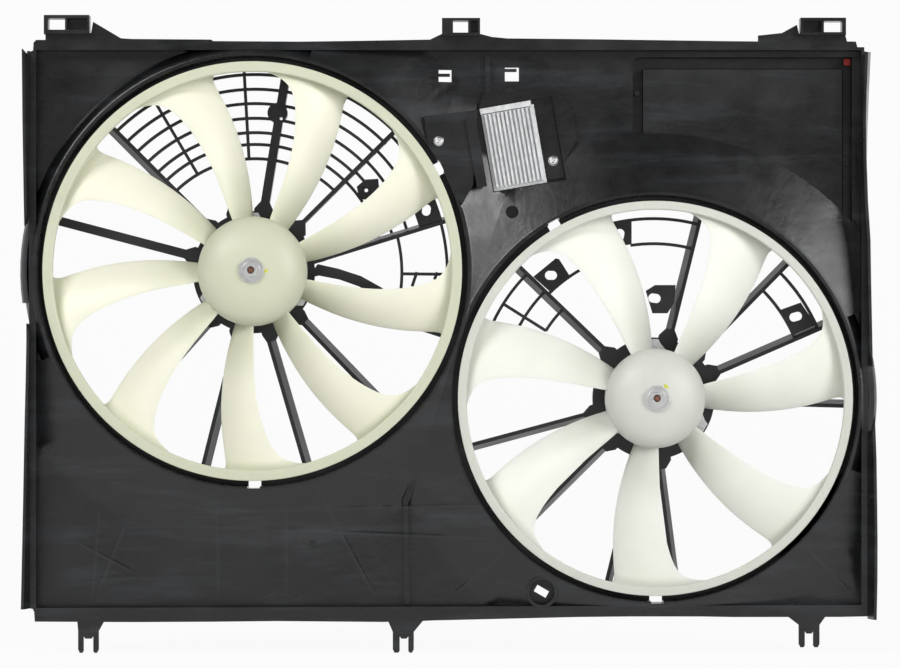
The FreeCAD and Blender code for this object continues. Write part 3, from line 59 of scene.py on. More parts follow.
def placeObject(name, data):
    thing = bpy.data.objects.new(name, data)
    bpy.context.scene.collection.objects.link(thing)
    return thing


def meshFrom(name, points, faces):
    mesh = bpy.data.meshes.new(name)
    mesh.from_pydata(points.reshape(-1, 3).tolist(), [], faces)
    mesh.shade_smooth()
    return placeObject(name, mesh)


def smoothUpTo(mesh, angle):
    mesh.shade_smooth()
    mesh.set_sharp_from_angle(angle=math.radians(angle))


def gridFaces(rows, columns, closeRows=False, closeColumns=False, offset=0):
    # quads of a rows x columns grid of points, wrapped round where it closes
    r = np.arange(rows if closeRows else rows - 1)
    c = np.arange(columns if closeColumns else columns - 1)
    r, c = np.meshgrid(r, c, indexing="ij")
    r2, c2 = (r + 1) % rows, (c + 1) % columns
    quads = np.stack([r * columns + c, r * columns + c2, r2 * columns + c2, r2 * columns + c], -1)
    return (quads.reshape(-1, 4) + offset).tolist()


def outward(piece):
    # turns every face of a closed piece outwards
    bm = bmesh.new()
    bm.from_mesh(piece.data)
    bmesh.ops.remove_doubles(bm, verts=bm.verts, dist=1e-6)
    bmesh.ops.recalc_face_normals(bm, faces=bm.faces)
    bm.to_mesh(piece.data)
    bm.free()
    return piece


def latheGrid(profile, center, steps):
    # point (radius, depth) of a closed profile turned about an axis along Y:
    # x = cx + radius cos(a), z = cz + radius sin(a)
    profile = np.asarray(profile, float)
    angle = np.linspace(0, 2 * np.pi, steps, endpoint=False)[:, None]
    radius, depth = profile[None, :, 0], profile[None, :, 1]
    return np.stack([center[0] + radius * np.cos(angle), depth + 0 * angle,
                     center[1] + radius * np.sin(angle)], -1)


def rounded(corners, cut, steps):
    # a closed profile with each corner replaced by the curve
    # (1 - t)^2 start + 2 t (1 - t) corner + t^2 end, which starts and ends a cut away
    corners = np.asarray(corners, float)
    before, after = np.roll(corners, 1, 0), np.roll(corners, -1, 0)
    toBefore, toAfter = before - corners, after - corners
    lengthBefore = np.linalg.norm(toBefore, axis=1, keepdims=True)
    lengthAfter = np.linalg.norm(toAfter, axis=1, keepdims=True)
    reach = np.minimum(np.minimum(lengthBefore, lengthAfter) * 0.45, cut)
    start = corners + toBefore / lengthBefore * reach
    end = corners + toAfter / lengthAfter * reach
    t = np.linspace(0, 1, steps + 1)[None, :, None]
    curve = (1 - t) ** 2 * start[:, None] + 2 * t * (1 - t) * corners[:, None] + t ** 2 * end[:, None]
    return curve.reshape(-1, 2)


softening = {"merge": 2e-6, "speck": 1e-6, "flatWithin": 0.25, "edgeAngle": 28, "segments": 2,
             "faceWeight": 60}


def softened(node, body, width):
    # a merged copy of a CAD node with rounded edges; it stands for the node
    v = softening
    mesh = frame["nodes"][node].data.copy()
    mesh.name = node + "Soft"
    bm = bmesh.new()
    bm.from_mesh(mesh)
    bmesh.ops.remove_doubles(bm, verts=bm.verts, dist=v["merge"])
    bmesh.ops.dissolve_degenerate(bm, edges=bm.edges, dist=v["speck"])
    bmesh.ops.dissolve_limit(bm, angle_limit=math.radians(v["flatWithin"]), verts=bm.verts,
                             edges=bm.edges)
    bm.to_mesh(mesh)
    bm.free()
    smoothUpTo(mesh, v["edgeAngle"])
    piece = placeObject(mesh.name, mesh)
    if width:
        bevel = piece.modifiers.new("softEdges", "BEVEL")
        bevel.width = width
        bevel.segments = v["segments"]
        bevel.limit_method = "ANGLE"
        bevel.angle_limit = math.radians(v["edgeAngle"])
        bevel.harden_normals = False
        bevel.use_clamp_overlap = True
        even = piece.modifiers.new("evenShading", "WEIGHTED_NORMAL")
        even.keep_sharp = False
        even.weight = v["faceWeight"]
    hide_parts(node)
    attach(piece, body)
    return piece


def dress(piece, material):
    piece.data.materials.clear()
    piece.data.materials.append(material)
    return piece


# lengths in metres, angles in degrees; back and fore are (start, sweep, bend or dip) of a
# blade's trailing and leading edge, flare is how far the leading edge runs out along the ring
fanSizes = {
    "left": {"center": (-0.172, 0.2974), "ring": 0.1825, "lip": 0.0091, "hub": 0.0475,
             "blades": 9, "start": 0.0, "back": (10.5, 12.5, 1.35), "fore": (31.5, 8.0, 1.3), "flare": 6.5},
    "right": {"center": (0.1786, 0.1867), "ring": 0.1718, "lip": 0.0077, "hub": 0.0433,
              "blades": 7, "start": -20.0, "back": (9.0, 12.5, 1.35), "fore": (36.5, 5.0, 1.3), "flare": 7.0},
}


# shader tools

def addNode(tree, kind, settings=None, links=None):
    # settings: property or input name -> value; links: input name -> socket
    node = tree.nodes.new(kind)
    for key, value in (settings or {}).items():
        if isinstance(key, str) and hasattr(node, key) and key not in node.inputs:
            setattr(node, key, value)
        else:
            node.inputs[key].default_value = value
    for key, socket in (links or {}).items():
        tree.links.new(socket, node.inputs[key])
    return node


def newMaterial(name, settings):
    # the settings are inputs of its shader; place is a point of the object, in metres
    material = bpy.data.materials.new(name)
    material.use_nodes = True
    tree = material.node_tree
    shader = tree.nodes["Principled BSDF"]
    for key, value in settings.items():
        shader.inputs[key].default_value = value
    place = addNode(tree, "ShaderNodeTexCoord").outputs["Object"]
    return material, tree, shader, place


def joinTo(tree, shader, sockets):
    for key, socket in sockets.items():
        tree.links.new(socket, shader.inputs[key])


def spread(fromRange, toRange=(0.0, 1.0)):
    # the ends of a Map Range node
    return {"From Min": fromRange[0], "From Max": fromRange[1], "To Min": toRange[0], "To Max": toRange[1]}


def axisDistance(tree, place, center):
    # how far a point lies from an axis along Y
    centered = addNode(tree, "ShaderNodeMapping", {"Location": (-center[0], 0, -center[1])},
                       {"Vector": place})
    flat = addNode(tree, "ShaderNodeVectorMath", {"operation": "MULTIPLY", 1: (1, 0, 1)},
                   {0: centered.outputs["Vector"]})
    return addNode(tree, "ShaderNodeVectorMath", {"operation": "LENGTH"},
                   {0: flat.outputs["Vector"]}).outputs["Value"]


# materials; a noise of scale s has patches about 1000 / s millimetres across

nylonLook = {
    "cloudScale": 11.0,         # flow clouds, 90 mm
    "grainScale": 520.0,        # mould grain, 2 mm: far coarser than the real one, so that it shows
    "rubScale": 6.0, "rubTurn": 0.62, "rubStretch": 7.0,        # rubs 170 mm long and 25 mm wide
    "rubRange": (0.50, 0.72), "rubTone": 0.75, "dustRange": (0.42, 0.78), "dustTone": 0.22,
    # the mark tone is how far each sink line is painted paler, a painted highlight
    "pale": "#303236", "markWidth": (0.0019, 0.0004), "markFade": 0.015, "markSheenTone": 0.16,
    "glossRange": (0.3, 0.72), "glossier": 0.11, "duller": 0.20,
    "grainBump": 0.10, "grainDepth": 0.0002, "waveBump": 0.6, "waveDepth": 0.002,
}


def sinkMarkWithSheen(tree, place, ends):
    # a line between two ends in the panel's plane, fading out sideways and at both ends; the caller dips the
    # surface along it as a sink mark and pales the colour along it, a painted highlight where the dip catches
    # light
    v = nylonLook
    (x0, z0), (x1, z1) = ends
    half = math.hypot(x1 - x0, z1 - z0) / 2
    moved = addNode(tree, "ShaderNodeMapping", {
        "vector_type": "TEXTURE", "Location": (x0, 0, z0),
        "Rotation": (0, -math.atan2(z1 - z0, x1 - x0), 0)}, {"Vector": place})
    parts = addNode(tree, "ShaderNodeSeparateXYZ", {}, {0: moved.outputs["Vector"]})
    past = addNode(tree, "ShaderNodeMath", {"operation": "SUBTRACT", 1: half}, {0: parts.outputs["X"]})
    past = addNode(tree, "ShaderNodeMath", {"operation": "ABSOLUTE"}, {0: past.outputs[0]})
    inside = addNode(tree, "ShaderNodeMapRange", spread((half, half - v["markFade"])),
                     {"Value": past.outputs[0]})
    away = addNode(tree, "ShaderNodeMath", {"operation": "ABSOLUTE"}, {0: parts.outputs["Z"]})
    near = addNode(tree, "ShaderNodeMapRange", spread(v["markWidth"], (0.0, v["markSheenTone"])),
                   {"Value": away.outputs[0]})
    return addNode(tree, "ShaderNodeMath", {"operation": "MULTIPLY"},
                   {0: inside.outputs[0], 1: near.outputs[0]}).outputs[0]


def blackNylon(name, hexBase, roughness, wear, sinkMarksWithSheen=()):
    # glass-filled nylon, injection moulded: satin black with a cloudy gloss from flow in the mould,
    # light handling scuffs, and faint sink marks over the ribs behind it, each dipped into the surface and
    # painted paler along its line, a painted highlight
    v = nylonLook
    material, tree, shader, place = newMaterial(name, {"IOR": 1.52})
    cloud = addNode(tree, "ShaderNodeTexNoise", {"Scale": v["cloudScale"], "Detail": 5.0, "Roughness": 0.6},
                    {"Vector": place}).outputs["Fac"]
    fine = addNode(tree, "ShaderNodeTexNoise", {"Scale": v["grainScale"], "Detail": 3.0, "Roughness": 0.6},
                   {"Vector": place})
    turned = addNode(tree, "ShaderNodeMapping", {"Rotation": (0, v["rubTurn"], 0),
                                                 "Scale": (1.0, 1.0, v["rubStretch"])}, {"Vector": place})
    rub = addNode(tree, "ShaderNodeTexNoise", {"Scale": v["rubScale"], "Detail": 8.0, "Roughness": 0.68,
                                               "Distortion": 0.4}, {"Vector": turned.outputs["Vector"]})
    scuffed = addNode(tree, "ShaderNodeMapRange", spread(v["rubRange"], (0.0, v["rubTone"] * wear)),
                      {"Value": rub.outputs["Fac"]})
    dusty = addNode(tree, "ShaderNodeMapRange", spread(v["dustRange"], (0.0, v["dustTone"] * wear)),
                    {"Value": cloud})
    pale = addNode(tree, "ShaderNodeMath", {"operation": "ADD", "use_clamp": True},
                   {0: scuffed.outputs[0], 1: dusty.outputs[0]}).outputs[0]
    height = cloud
    # each sink line dips the surface and also pales the colour: the paler line is a painted highlight
    for ends in sinkMarksWithSheen:
        line = sinkMarkWithSheen(tree, place, ends)
        pale = addNode(tree, "ShaderNodeMath", {"operation": "ADD"}, {0: pale, 1: line}).outputs[0]
        height = addNode(tree, "ShaderNodeMath", {"operation": "ADD"}, {0: height, 1: line}).outputs[0]
    tone = addNode(tree, "ShaderNodeMix", {"data_type": "RGBA", 6: hexColor(hexBase), 7: hexColor(v["pale"])},
                   {0: pale})
    gloss = addNode(tree, "ShaderNodeMapRange", spread(v["glossRange"], (roughness - v["glossier"],
                                                                        roughness + v["duller"])),
                    {"Value": cloud})
    grain = addNode(tree, "ShaderNodeBump", {"Strength": v["grainBump"], "Distance": v["grainDepth"]},
                    {"Height": fine.outputs["Fac"]})
    wave = addNode(tree, "ShaderNodeBump", {"Strength": v["waveBump"], "Distance": v["waveDepth"]},
                   {"Height": height, "Normal": grain.outputs["Normal"]})
    joinTo(tree, shader, {"Base Color": tone.outputs[2], "Roughness": gloss.outputs[0],
                          "Normal": wave.outputs["Normal"]})
    return material


def naturalNylon(name, size, tonesWithPaintedLight):
    # unpigmented nylon, injection moulded: milky and a little translucent. The tones that run from hub to
    # root, blade and ring
    # hold painted light: the thin blades are painted brighter, as if lit through from behind, and the thick
    # hub and ring deeper and greyer, a painted shade.
    # Its cloudiness has 60 mm patches, and its grain of 4 mm is coarser than the real one, to show.
    material, tree, shader, place = newMaterial(name, {
        "IOR": 1.52, "Roughness": 0.44, "Subsurface Weight": 0.15,
        "Subsurface Radius": (0.005, 0.0045, 0.003), "Subsurface Scale": 1.0})
    reach = axisDistance(tree, place, size["center"])
    hub, bore = size["hub"], size["ring"] - size["lip"]
    # the colour steps from tone to tone across these spans: painted light, brighter on the thin blades as if
    # lit through, darker on the thick hub and ring as painted shade
    spans = ((hub - 0.004, hub + 0.016), (hub + 0.012, hub + 0.060), (bore - 0.009, bore + 0.0005))
    tone = None
    for k, span in enumerate(spans):
        step = addNode(tree, "ShaderNodeMapRange", {"interpolation_type": "SMOOTHSTEP", **spread(span)},
                       {"Value": reach})
        mix = addNode(tree, "ShaderNodeMix", {"data_type": "RGBA", 7: hexColor(tonesWithPaintedLight[k + 1])},
                      {0: step.outputs[0]})
        if tone is None:
            mix.inputs[6].default_value = hexColor(tonesWithPaintedLight[0])
        else:
            tree.links.new(tone, mix.inputs[6])
        tone = mix.outputs[2]
    cloud = addNode(tree, "ShaderNodeTexNoise", {"Scale": 16.0, "Detail": 5.0, "Roughness": 0.55},
                    {"Vector": place})
    mottled = addNode(tree, "ShaderNodeMapRange", spread((0.3, 0.75), (1.02, 0.955)),
                      {"Value": cloud.outputs["Fac"]})
    shaded = addNode(tree, "ShaderNodeVectorMath", {"operation": "SCALE"},
                     {0: tone, "Scale": mottled.outputs[0]})
    fine = addNode(tree, "ShaderNodeTexNoise", {"Scale": 260.0, "Detail": 3.0}, {"Vector": place})
    bump = addNode(tree, "ShaderNodeBump", {"Strength": 0.08, "Distance": 0.0002},
                   {"Height": fine.outputs["Fac"]})
    joinTo(tree, shader, {"Base Color": shaded.outputs["Vector"], "Normal": bump.outputs["Normal"]})
    return material


def bareMetal(name, hexBase, roughness, grain=(1, 1, 1), scale=180.0):
    # turned, rolled or cast metal: fine grain that breaks up the reflection, 2 to 11 mm across,
    # which is coarser than the real one so that it shows. grain squeezes it along the axis Y, into
    # lines round a turned piece and into layers in the laminated core.
    material, tree, shader, place = newMaterial(name, {"Metallic": 1.0})
    stretched = addNode(tree, "ShaderNodeMapping", {"Scale": grain}, {"Vector": place})
    fine = addNode(tree, "ShaderNodeTexNoise", {"Scale": scale, "Detail": 4.0, "Roughness": 0.6},
                   {"Vector": stretched.outputs["Vector"]}).outputs["Fac"]
    bright = hexColor(hexBase)
    dark = [channel * 0.82 for channel in bright[:3]] + [1]
    tone = addNode(tree, "ShaderNodeMix", {"data_type": "RGBA", 6: dark, 7: bright}, {0: fine})
    gloss = addNode(tree, "ShaderNodeMapRange", spread((0.3, 0.7), (roughness - 0.08, roughness + 0.08)),
                    {"Value": fine})
    bump = addNode(tree, "ShaderNodeBump", {"Strength": 0.1, "Distance": 0.0002}, {"Height": fine})
    joinTo(tree, shader, {"Base Color": tone.outputs[2], "Roughness": gloss.outputs[0],
                          "Normal": bump.outputs["Normal"]})
    return material


def plainSolid(name, hexBase, hexOther, roughness, scale, ior=1.5):
    # a solid coloured material with a visible grain: ferrite, carbon, resin, rubber, laminate
    material, tree, shader, place = newMaterial(name, {"IOR": ior, "Roughness": roughness})
    fine = addNode(tree, "ShaderNodeTexNoise", {"Scale": scale, "Detail": 5.0, "Roughness": 0.6},
                   {"Vector": place}).outputs["Fac"]
    tone = addNode(tree, "ShaderNodeMix", {"data_type": "RGBA", 6: hexColor(hexBase), 7: hexColor(hexOther)},
                   {0: fine})
    bump = addNode(tree, "ShaderNodeBump", {"Strength": 0.15, "Distance": 0.0002}, {"Height": fine})
    joinTo(tree, shader, {"Base Color": tone.outputs[2], "Normal": bump.outputs["Normal"]})
    return material


def oiledShaft(name, size):
    # ground steel whose end face holds a film of brown rust-proof oil; it is painted darker towards its rim,
    # a painted shade standing for the dark hole round the shaft's end
    material, tree, shader, place = newMaterial(name, {"Metallic": 1.0, "Roughness": 0.32})
    # painted shade: the colour darkens from 1.4 to 2.8 mm off the axis, for the dark hole round the shaft's
    # end
    edge = addNode(tree, "ShaderNodeMapRange", spread((0.0014, 0.0028)),
                   {"Value": axisDistance(tree, place, size["center"])})
    stain = addNode(tree, "ShaderNodeTexNoise", {"Scale": 700.0, "Detail": 3.0},
                    {"Vector": place}).outputs["Fac"]
    inner = addNode(tree, "ShaderNodeMix", {"data_type": "RGBA", 6: hexColor("#b08474"),
                                            7: hexColor("#7c5245")}, {0: stain})
    tone = addNode(tree, "ShaderNodeMix", {"data_type": "RGBA", 7: hexColor("#3a2620")},
                   {0: edge.outputs[0], 6: inner.outputs[2]})
    bump = addNode(tree, "ShaderNodeBump", {"Strength": 0.15, "Distance": 0.0002}, {"Height": stain})
    joinTo(tree, shader, {"Base Color": tone.outputs[2], "Normal": bump.outputs["Normal"]})
    return material


# tones of hub, blade root, blade and ring, with painted light in them: the blades paler as if lit through,
# the hub and ring darker as painted shade
fanTonesWithPaintedLight = {
    "left": ("#d3d5bc", "#e2e3c9", "#f6f5e0", "#d2d4bc"),
    "right": ("#d7d9d1", "#e3e5d9", "#f4f5ea", "#d3d5cb"),
}
# ends (x, z) of each sink mark, in metres; each is dipped and also painted paler, a painted highlight
sinkSheenLines = (
    ((-0.331, 0.064), (-0.275, 0.034)), ((-0.306, 0.098), (-0.313, 0.011)),
    ((-0.281, 0.085), (-0.309, 0.016)), ((-0.247, 0.098), (-0.205, 0.088)),
    ((-0.205, 0.088), (0.043, 0.094)), ((-0.203, 0.100), (-0.203, 0.010)),
    ((-0.143, 0.096), (-0.143, 0.009)), ((-0.117, 0.110), (-0.064, 0.012)),
    ((0.002, 0.014), (0.052, 0.056)), ((0.307, 0.059), (0.355, 0.013)),
    ((-0.250, 0.076), (0.047, 0.064)))

panelNylon = blackNylon("blackNylonPanel", "#0b0c0d", 0.27, 1.0, sinkSheenLines)
strutNylon = blackNylon("blackNylonStrut", "#0b0b0e", 0.32, 0.4)
fanNylon = {side: naturalNylon("naturalNylon" + side.title(), size, fanTonesWithPaintedLight[side])
            for side, size in fanSizes.items()}
castAluminium = bareMetal("castAluminium", "#f0f1f2", 0.46, scale=240.0)
zincSteel = bareMetal("zincPlatedSteel", "#e2e3e2", 0.34, (1, 6, 1), 300.0)
groundSteel = bareMetal("groundSteel", "#c8c8ca", 0.2, (1, 12, 1), 420.0)
springSteel = bareMetal("springSteel", "#8d8e90", 0.32)
coreSteel = bareMetal("laminatedCoreSteel", "#77787b", 0.45, (1, 40, 1), 90.0)
wireCopper = bareMetal("enamelledCopper", "#b5602c", 0.35, (1, 5, 1), 260.0)
barCopper = bareMetal("machinedCopper", "#c4825a", 0.28, (1, 10, 1), 200.0)
ferrite = plainSolid("sinteredFerrite", "#1d1d1f", "#2b2b2e", 0.6, 300.0)
carbon = plainSolid("pressedCarbon", "#151515", "#262523", 0.5, 600.0)
phenolic = plainSolid("phenolicResin", "#4a3524", "#5b432e", 0.45, 200.0)
siliconeRubber = plainSolid("siliconeRubber", "#1b1b1b", "#262626", 0.7, 300.0, 1.42)
boardLaminate = plainSolid("glassEpoxyBoard", "#1d5a30", "#27693a", 0.35, 400.0)
redAcetal = plainSolid("redAcetal", "#8e1512", "#a11b16", 0.3, 120.0)
yellowPaint = plainSolid("yellowMarkingPaint", "#dfe01a", "#cfd022", 0.45, 600.0)
redPaint = plainSolid("redMarkingPaint", "#8f1418", "#a3262a", 0.45, 600.0)
shaftSteel = {side: oiledShaft("oiledShaft" + side.title(), size) for side, size in fanSizes.items()}
print("materials ready")


# fans

bladeForm = {
    "rows": 56, "columns": 34, "crowding": 1.35,        # rows draw closer together towards the ring
    "rootSink": 0.0012, "tipSink": 0.0016,              # how far a blade reaches into hub and ring
    "leadPower": 2.2, "leadFade": 0.0055, "trailFlare": 1.6, "trailFade": 0.003,
    "rootRise": 0.0115, "riseLoss": 0.0035, "rootMiddle": 0.0098, "middleGain": 0.0016, "camber": 0.0030,
    "edgeHalf": 0.00075, "coreHalf": 0.0006, "rootSwell": 1.6, "tipSwell": 1.2, "swellFade": 0.004,
}
ringForm = {
    "front": -0.003, "lipBack": 0.004, "innerFront": -0.0006, "flareStart": 0.002, "back": 0.022,
    "boreFlare": 0.003, "wall": 0.0024, "boreWall": 0.0026, "steps": 240,
}
hubForm = {
    "domeFront": 0.0045, "domeRise": 0.0175, "edge": 0.001, "wall": 0.0022, "steps": 22,
    "back": 0.0195, "backEnd": 0.020, "faceRadius": 0.0112, "boreRadius": 0.0065, "boreBack": 0.0138,
    "domeEnd": 0.0125,
}


def bladeSurface(size):
    # r runs from hub to ring bore. The trailing edge lies at angle b0 + b1 t^b2 and the leading edge
    # at f0 + f1 t^2.2 less a dip, plus a flare that dies off exponentially away from the ring.
    # Depth falls from leading to trailing edge, with a camber of sin(pi u); the section is a
    # rounded strip whose half thickness swells next to hub and ring.
    v = bladeForm
    bore, hub = size["ring"] - size["lip"], size["hub"]
    t = (1 - (1 - np.linspace(0, 1, v["rows"])) ** v["crowding"])[:, None]
    radius = hub - v["rootSink"] + (bore + v["tipSink"] - hub + v["rootSink"]) * t
    fromBore = np.clip(bore - radius, 0, 1)
    (back, backSweep, backBend), (fore, foreSweep, foreDip) = size["back"], size["fore"]
    trail = back + backSweep * t ** backBend - v["trailFlare"] * np.exp(-fromBore / v["trailFade"])
    lead = fore + foreSweep * t ** v["leadPower"] - foreDip * 4 * t * (1 - t)
    lead = lead + size["flare"] * np.exp(-fromBore / v["leadFade"])
    rise = v["rootRise"] - v["riseLoss"] * t
    middle = v["rootMiddle"] + v["middleGain"] * t
    u = np.linspace(0, 1, v["columns"])[None, :]
    edge = np.sqrt(np.clip(1 - (2 * u - 1) ** 8, 0, 1))
    half = (v["edgeHalf"] + v["coreHalf"] * np.sin(np.pi * u)) * edge
    half = half * (1 + v["rootSwell"] * np.exp(-(radius - hub) / v["swellFade"])
                   + v["tipSwell"] * np.exp(-(bore - radius) / v["swellFade"]))
    angle = trail + (lead - trail) * u
    depth = middle + rise * (1 - 2 * u) - v["camber"] * np.sin(np.pi * u)
    # the tip follows the bore, which widens from the front band to the rear
    behind = (depth - ringForm["flareStart"]) / (ringForm["back"] - ringForm["flareStart"])
    radius = radius + ringForm["boreFlare"] * np.clip(behind, 0, 1) * t ** 6
    front = np.stack([radius, depth - half, angle], -1)
    rear = np.stack([radius, depth + half, angle], -1)
    return np.concatenate([front, rear[:, -2:0:-1]], 1)


def ringSection(size):
    # a flat front band, and a bore wall that widens towards the rear
    v = ringForm
    ring, bore = size["ring"], size["ring"] - size["lip"]
    corners = [
        (bore + v["boreFlare"], v["back"], 0.0006), (bore, v["flareStart"], 0.003),
        (bore, v["front"], 0.0018), (ring, v["front"], 0.0009), (ring, v["lipBack"], 0.0004),
        (ring - v["wall"], v["lipBack"], 0.0004), (ring - v["wall"], v["innerFront"], 0.001),
        (bore + v["boreWall"], v["innerFront"], 0.001), (bore + v["boreWall"], v["flareStart"], 0.003),
        (bore + v["boreFlare"] + v["wall"], v["back"], 0.0006)]
    corners = np.array(corners)
    return rounded(corners[:, :2], corners[:, 2:], 5)


def hubSection(size):
    # a dome, radius R cos(a)^0.8 at depth -(front + rise sin(a)^1.25), with a socket for the insert
    v = hubForm
    hub = size["hub"]
    a = np.linspace(0, 1, v["steps"]) * np.pi / 2
    outside = np.stack([(hub - v["edge"]) * np.cos(a) ** 0.8,
                        -v["domeFront"] - v["domeRise"] * np.sin(a) ** 1.25], -1)
    outside = outside[outside[:, 0] > v["domeEnd"]]
    inside = outside[::-1] + [-v["wall"], v["wall"]]
    inside = inside[inside[:, 0] > v["domeEnd"]]
    face = -v["domeFront"] - v["domeRise"]
    return np.concatenate([
        [(hub, v["back"]), (hub, 0.006), (hub, -0.0015), (hub - 0.0003, -0.0032)], outside,
        [(v["faceRadius"], face), (v["boreRadius"], face), (v["boreRadius"], -v["boreBack"]),
         (0.0092, -v["boreBack"]), (0.0105, -0.0195)], inside,
        [(hub - 0.0026, v["back"]), (hub - 0.0022, v["backEnd"]), (hub - 0.0004, v["backEnd"])]])


def fanPiece(side):
    size = fanSizes[side]
    cx, cz = size["center"]
    loop = bladeSurface(size)
    rows, columns = loop.shape[:2]
    points, faces, count = [], [], 0
    for k in range(size["blades"]):
        a = np.radians(loop[..., 2] + size["start"] + 360 / size["blades"] * k)
        points.append(np.stack([cx + loop[..., 0] * np.cos(a), loop[..., 1],
                                cz + loop[..., 0] * np.sin(a)], -1).reshape(-1, 3))
        faces += gridFaces(rows, columns, False, True, count)
        faces += [list(range(count, count + columns)),
                  list(range(count + rows * columns - 1, count + (rows - 1) * columns - 1, -1))]
        count += rows * columns
    for section in (ringSection(size), hubSection(size)):
        lathe = latheGrid(section, size["center"], ringForm["steps"])
        points.append(lathe.reshape(-1, 3))
        faces += gridFaces(ringForm["steps"], len(section), True, True, count)
        count += lathe.shape[0] * lathe.shape[1]
    piece = outward(meshFrom(side + "FanMoulding", np.concatenate(points), faces))
    smoothUpTo(piece.data, 50)
    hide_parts(side + "_fan")
    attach(piece, side + "_rotor")
    return piece


for side in fanSizes:
    dress(fanPiece(side), fanNylon[side])
print("fans ready")


# moulded plastic and metal parts that keep their CAD shape: material and edge radius in metres

plan = {
    "shroud_panel": (panelNylon, 0.0007), "corner_cover": (panelNylon, 0.0012),
    "cover_clip": (redAcetal, 0.0003), "module_heat_sink": (castAluminium, 0.0002),
    "module_gasket": (siliconeRubber, 0.0002), "module_housing": (strutNylon, 0.0008),
    "module_circuit_board": (boardLaminate, 0), "module_cover": (strutNylon, 0.0006),
    "module_connector": (strutNylon, 0.0005), "motor_screws": (zincSteel, 0.0003),
}
for side in fanSizes:
    plan.update({side + "_" + node: choice for node, choice in {
        "stator": (strutNylon, 0.0008), "rear_rim": (strutNylon, 0.0003), "guard": (strutNylon, 0.0004),
        "motor_can": (zincSteel, 0.0008), "motor_end_plate": (zincSteel, 0.0006),
        "mount_plate": (zincSteel, 0.0003), "magnets": (ferrite, 0.0003),
        "front_bearing": (groundSteel, 0.0003), "rear_bearing": (groundSteel, 0.0003),
        "brush_card": (phenolic, 0.0002), "brushes": (carbon, 0.0002), "brush_springs": (springSteel, 0),
        "motor_socket": (strutNylon, 0.0005), "hub_insert": (zincSteel, 0.0003),
        "fan_nut": (zincSteel, 0.0003), "shaft": (shaftSteel[side], 0.0003),
        "armature_core": (coreSteel, 0), "windings": (wireCopper, 0.0008),
        "commutator": (barCopper, 0.0002)}.items()})
bodyOf = {node: body for body, members in frame["record"]["behaviour"]["bodies"].items() for node in members}
for node, (material, width) in plan.items():
    dress(softened(node, bodyOf[node], width), material)
print("carried-over parts dressed")


# small fasteners and marks

screwSizes = {"head": 0.0040, "rise": 0.0024, "socket": 0.0016, "depth": 0.0014, "chamfer": 0.0009,
              "washer": 0.0046, "washerThick": 0.0006, "shank": 0.0016, "length": 0.011, "steps": 48}


def screwPiece(name, center, front):
    # a pan-head screw: a profile (radius, depth) turned about an axis along Y, with a round
    # socket in its face and a thin washer edge behind its head
    v = screwSizes
    washerBack = front + v["rise"] + v["washerThick"]
    profile = rounded([
        (0.0, front + v["depth"]), (v["socket"], front + v["depth"]), (v["socket"], front + 0.0002),
        (v["head"] * 0.62, front), (v["head"] * 0.94, front + v["chamfer"]),
        (v["head"], front + v["rise"]), (v["washer"], front + v["rise"]), (v["washer"], washerBack),
        (v["shank"], washerBack), (v["shank"], front + v["length"]), (0.0, front + v["length"])], 0.0004, 3)
    profile[:, 0] = np.maximum(profile[:, 0], 0.00001)
    lathe = latheGrid(profile, center, v["steps"])
    piece = outward(meshFrom(name, lathe, gridFaces(v["steps"], len(profile), True, True)))
    smoothUpTo(piece.data, 40)
    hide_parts("module_screws")
    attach(piece, bodyOf["module_screws"])
    return dress(piece, zincSteel)


dabSizes = {"steps": 36, "rings": 9, "middle": 0.02, "height": 0.00035, "base": 0.0002}


def paintDab(name, center, depth, reach, spread, turn, body, material):
    # a dab of paint: a low dome over a wavy outline,
    # r(a) = reach (1 + 0.22 sin(3a + 0.6) + 0.13 sin 5a), height falls as 1 - t^2
    v = dabSizes
    angle = np.linspace(0, 2 * np.pi, v["steps"], endpoint=False)[None, :]
    t = np.linspace(v["middle"], 1, v["rings"])[:, None]
    edge = reach * (1 + 0.22 * np.sin(3 * angle + 0.6) + 0.13 * np.sin(5 * angle)) * t
    x, z = edge * np.cos(angle) * spread, edge * np.sin(angle)
    c, s = math.cos(math.radians(turn)), math.sin(math.radians(turn))
    height = v["height"] * (1 - t ** 2) + 0 * angle
    front = np.stack([center[0] + x * c - z * s, depth - height, center[1] + x * s + z * c], -1)
    back = front.copy()
    back[..., 1] = depth + v["base"]
    points = np.concatenate([front, back[::-1]])
    piece = outward(meshFrom(name, points, gridFaces(points.shape[0], points.shape[1], True, True)))
    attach(piece, body)
    return dress(piece, material)


# the two screws share one node: one in the plate, and one by the heat sink, right of x = 0.02
spots = np.array([v.co[:] for v in frame["nodes"]["module_screws"].data.vertices])
for name, mask in (("plateScrew", spots[:, 0] < 0.02), ("sinkScrew", spots[:, 0] > 0.02)):
    group = spots[mask]
    middle = (group.min(0) + group.max(0)) / 2
    screwPiece(name, (middle[0], middle[2]), group[:, 1].min())

# offset from the fan's axis, and turn; the dabs lie on the front face of each hub
hubDabs = {"left": (0.0123, -0.0006, 20.0), "right": (0.0080, 0.0103, -40.0)}
for side, (dx, dz, turn) in hubDabs.items():
    cx, cz = fanSizes[side]["center"]
    paintDab(side + "YellowDab", (cx + dx, cz + dz), -0.02165, 0.0015, 1.35, turn, side + "_rotor",
             yellowPaint)
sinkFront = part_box("module_heat_sink")[0][1]
paintDab("redDab", (0.0527, 0.3752), sinkFront + 0.0010, 0.0008, 0.8, 8.0, bodyOf["module_heat_sink"],
         redPaint)
print("fasteners and marks ready")


# floor, light and camera

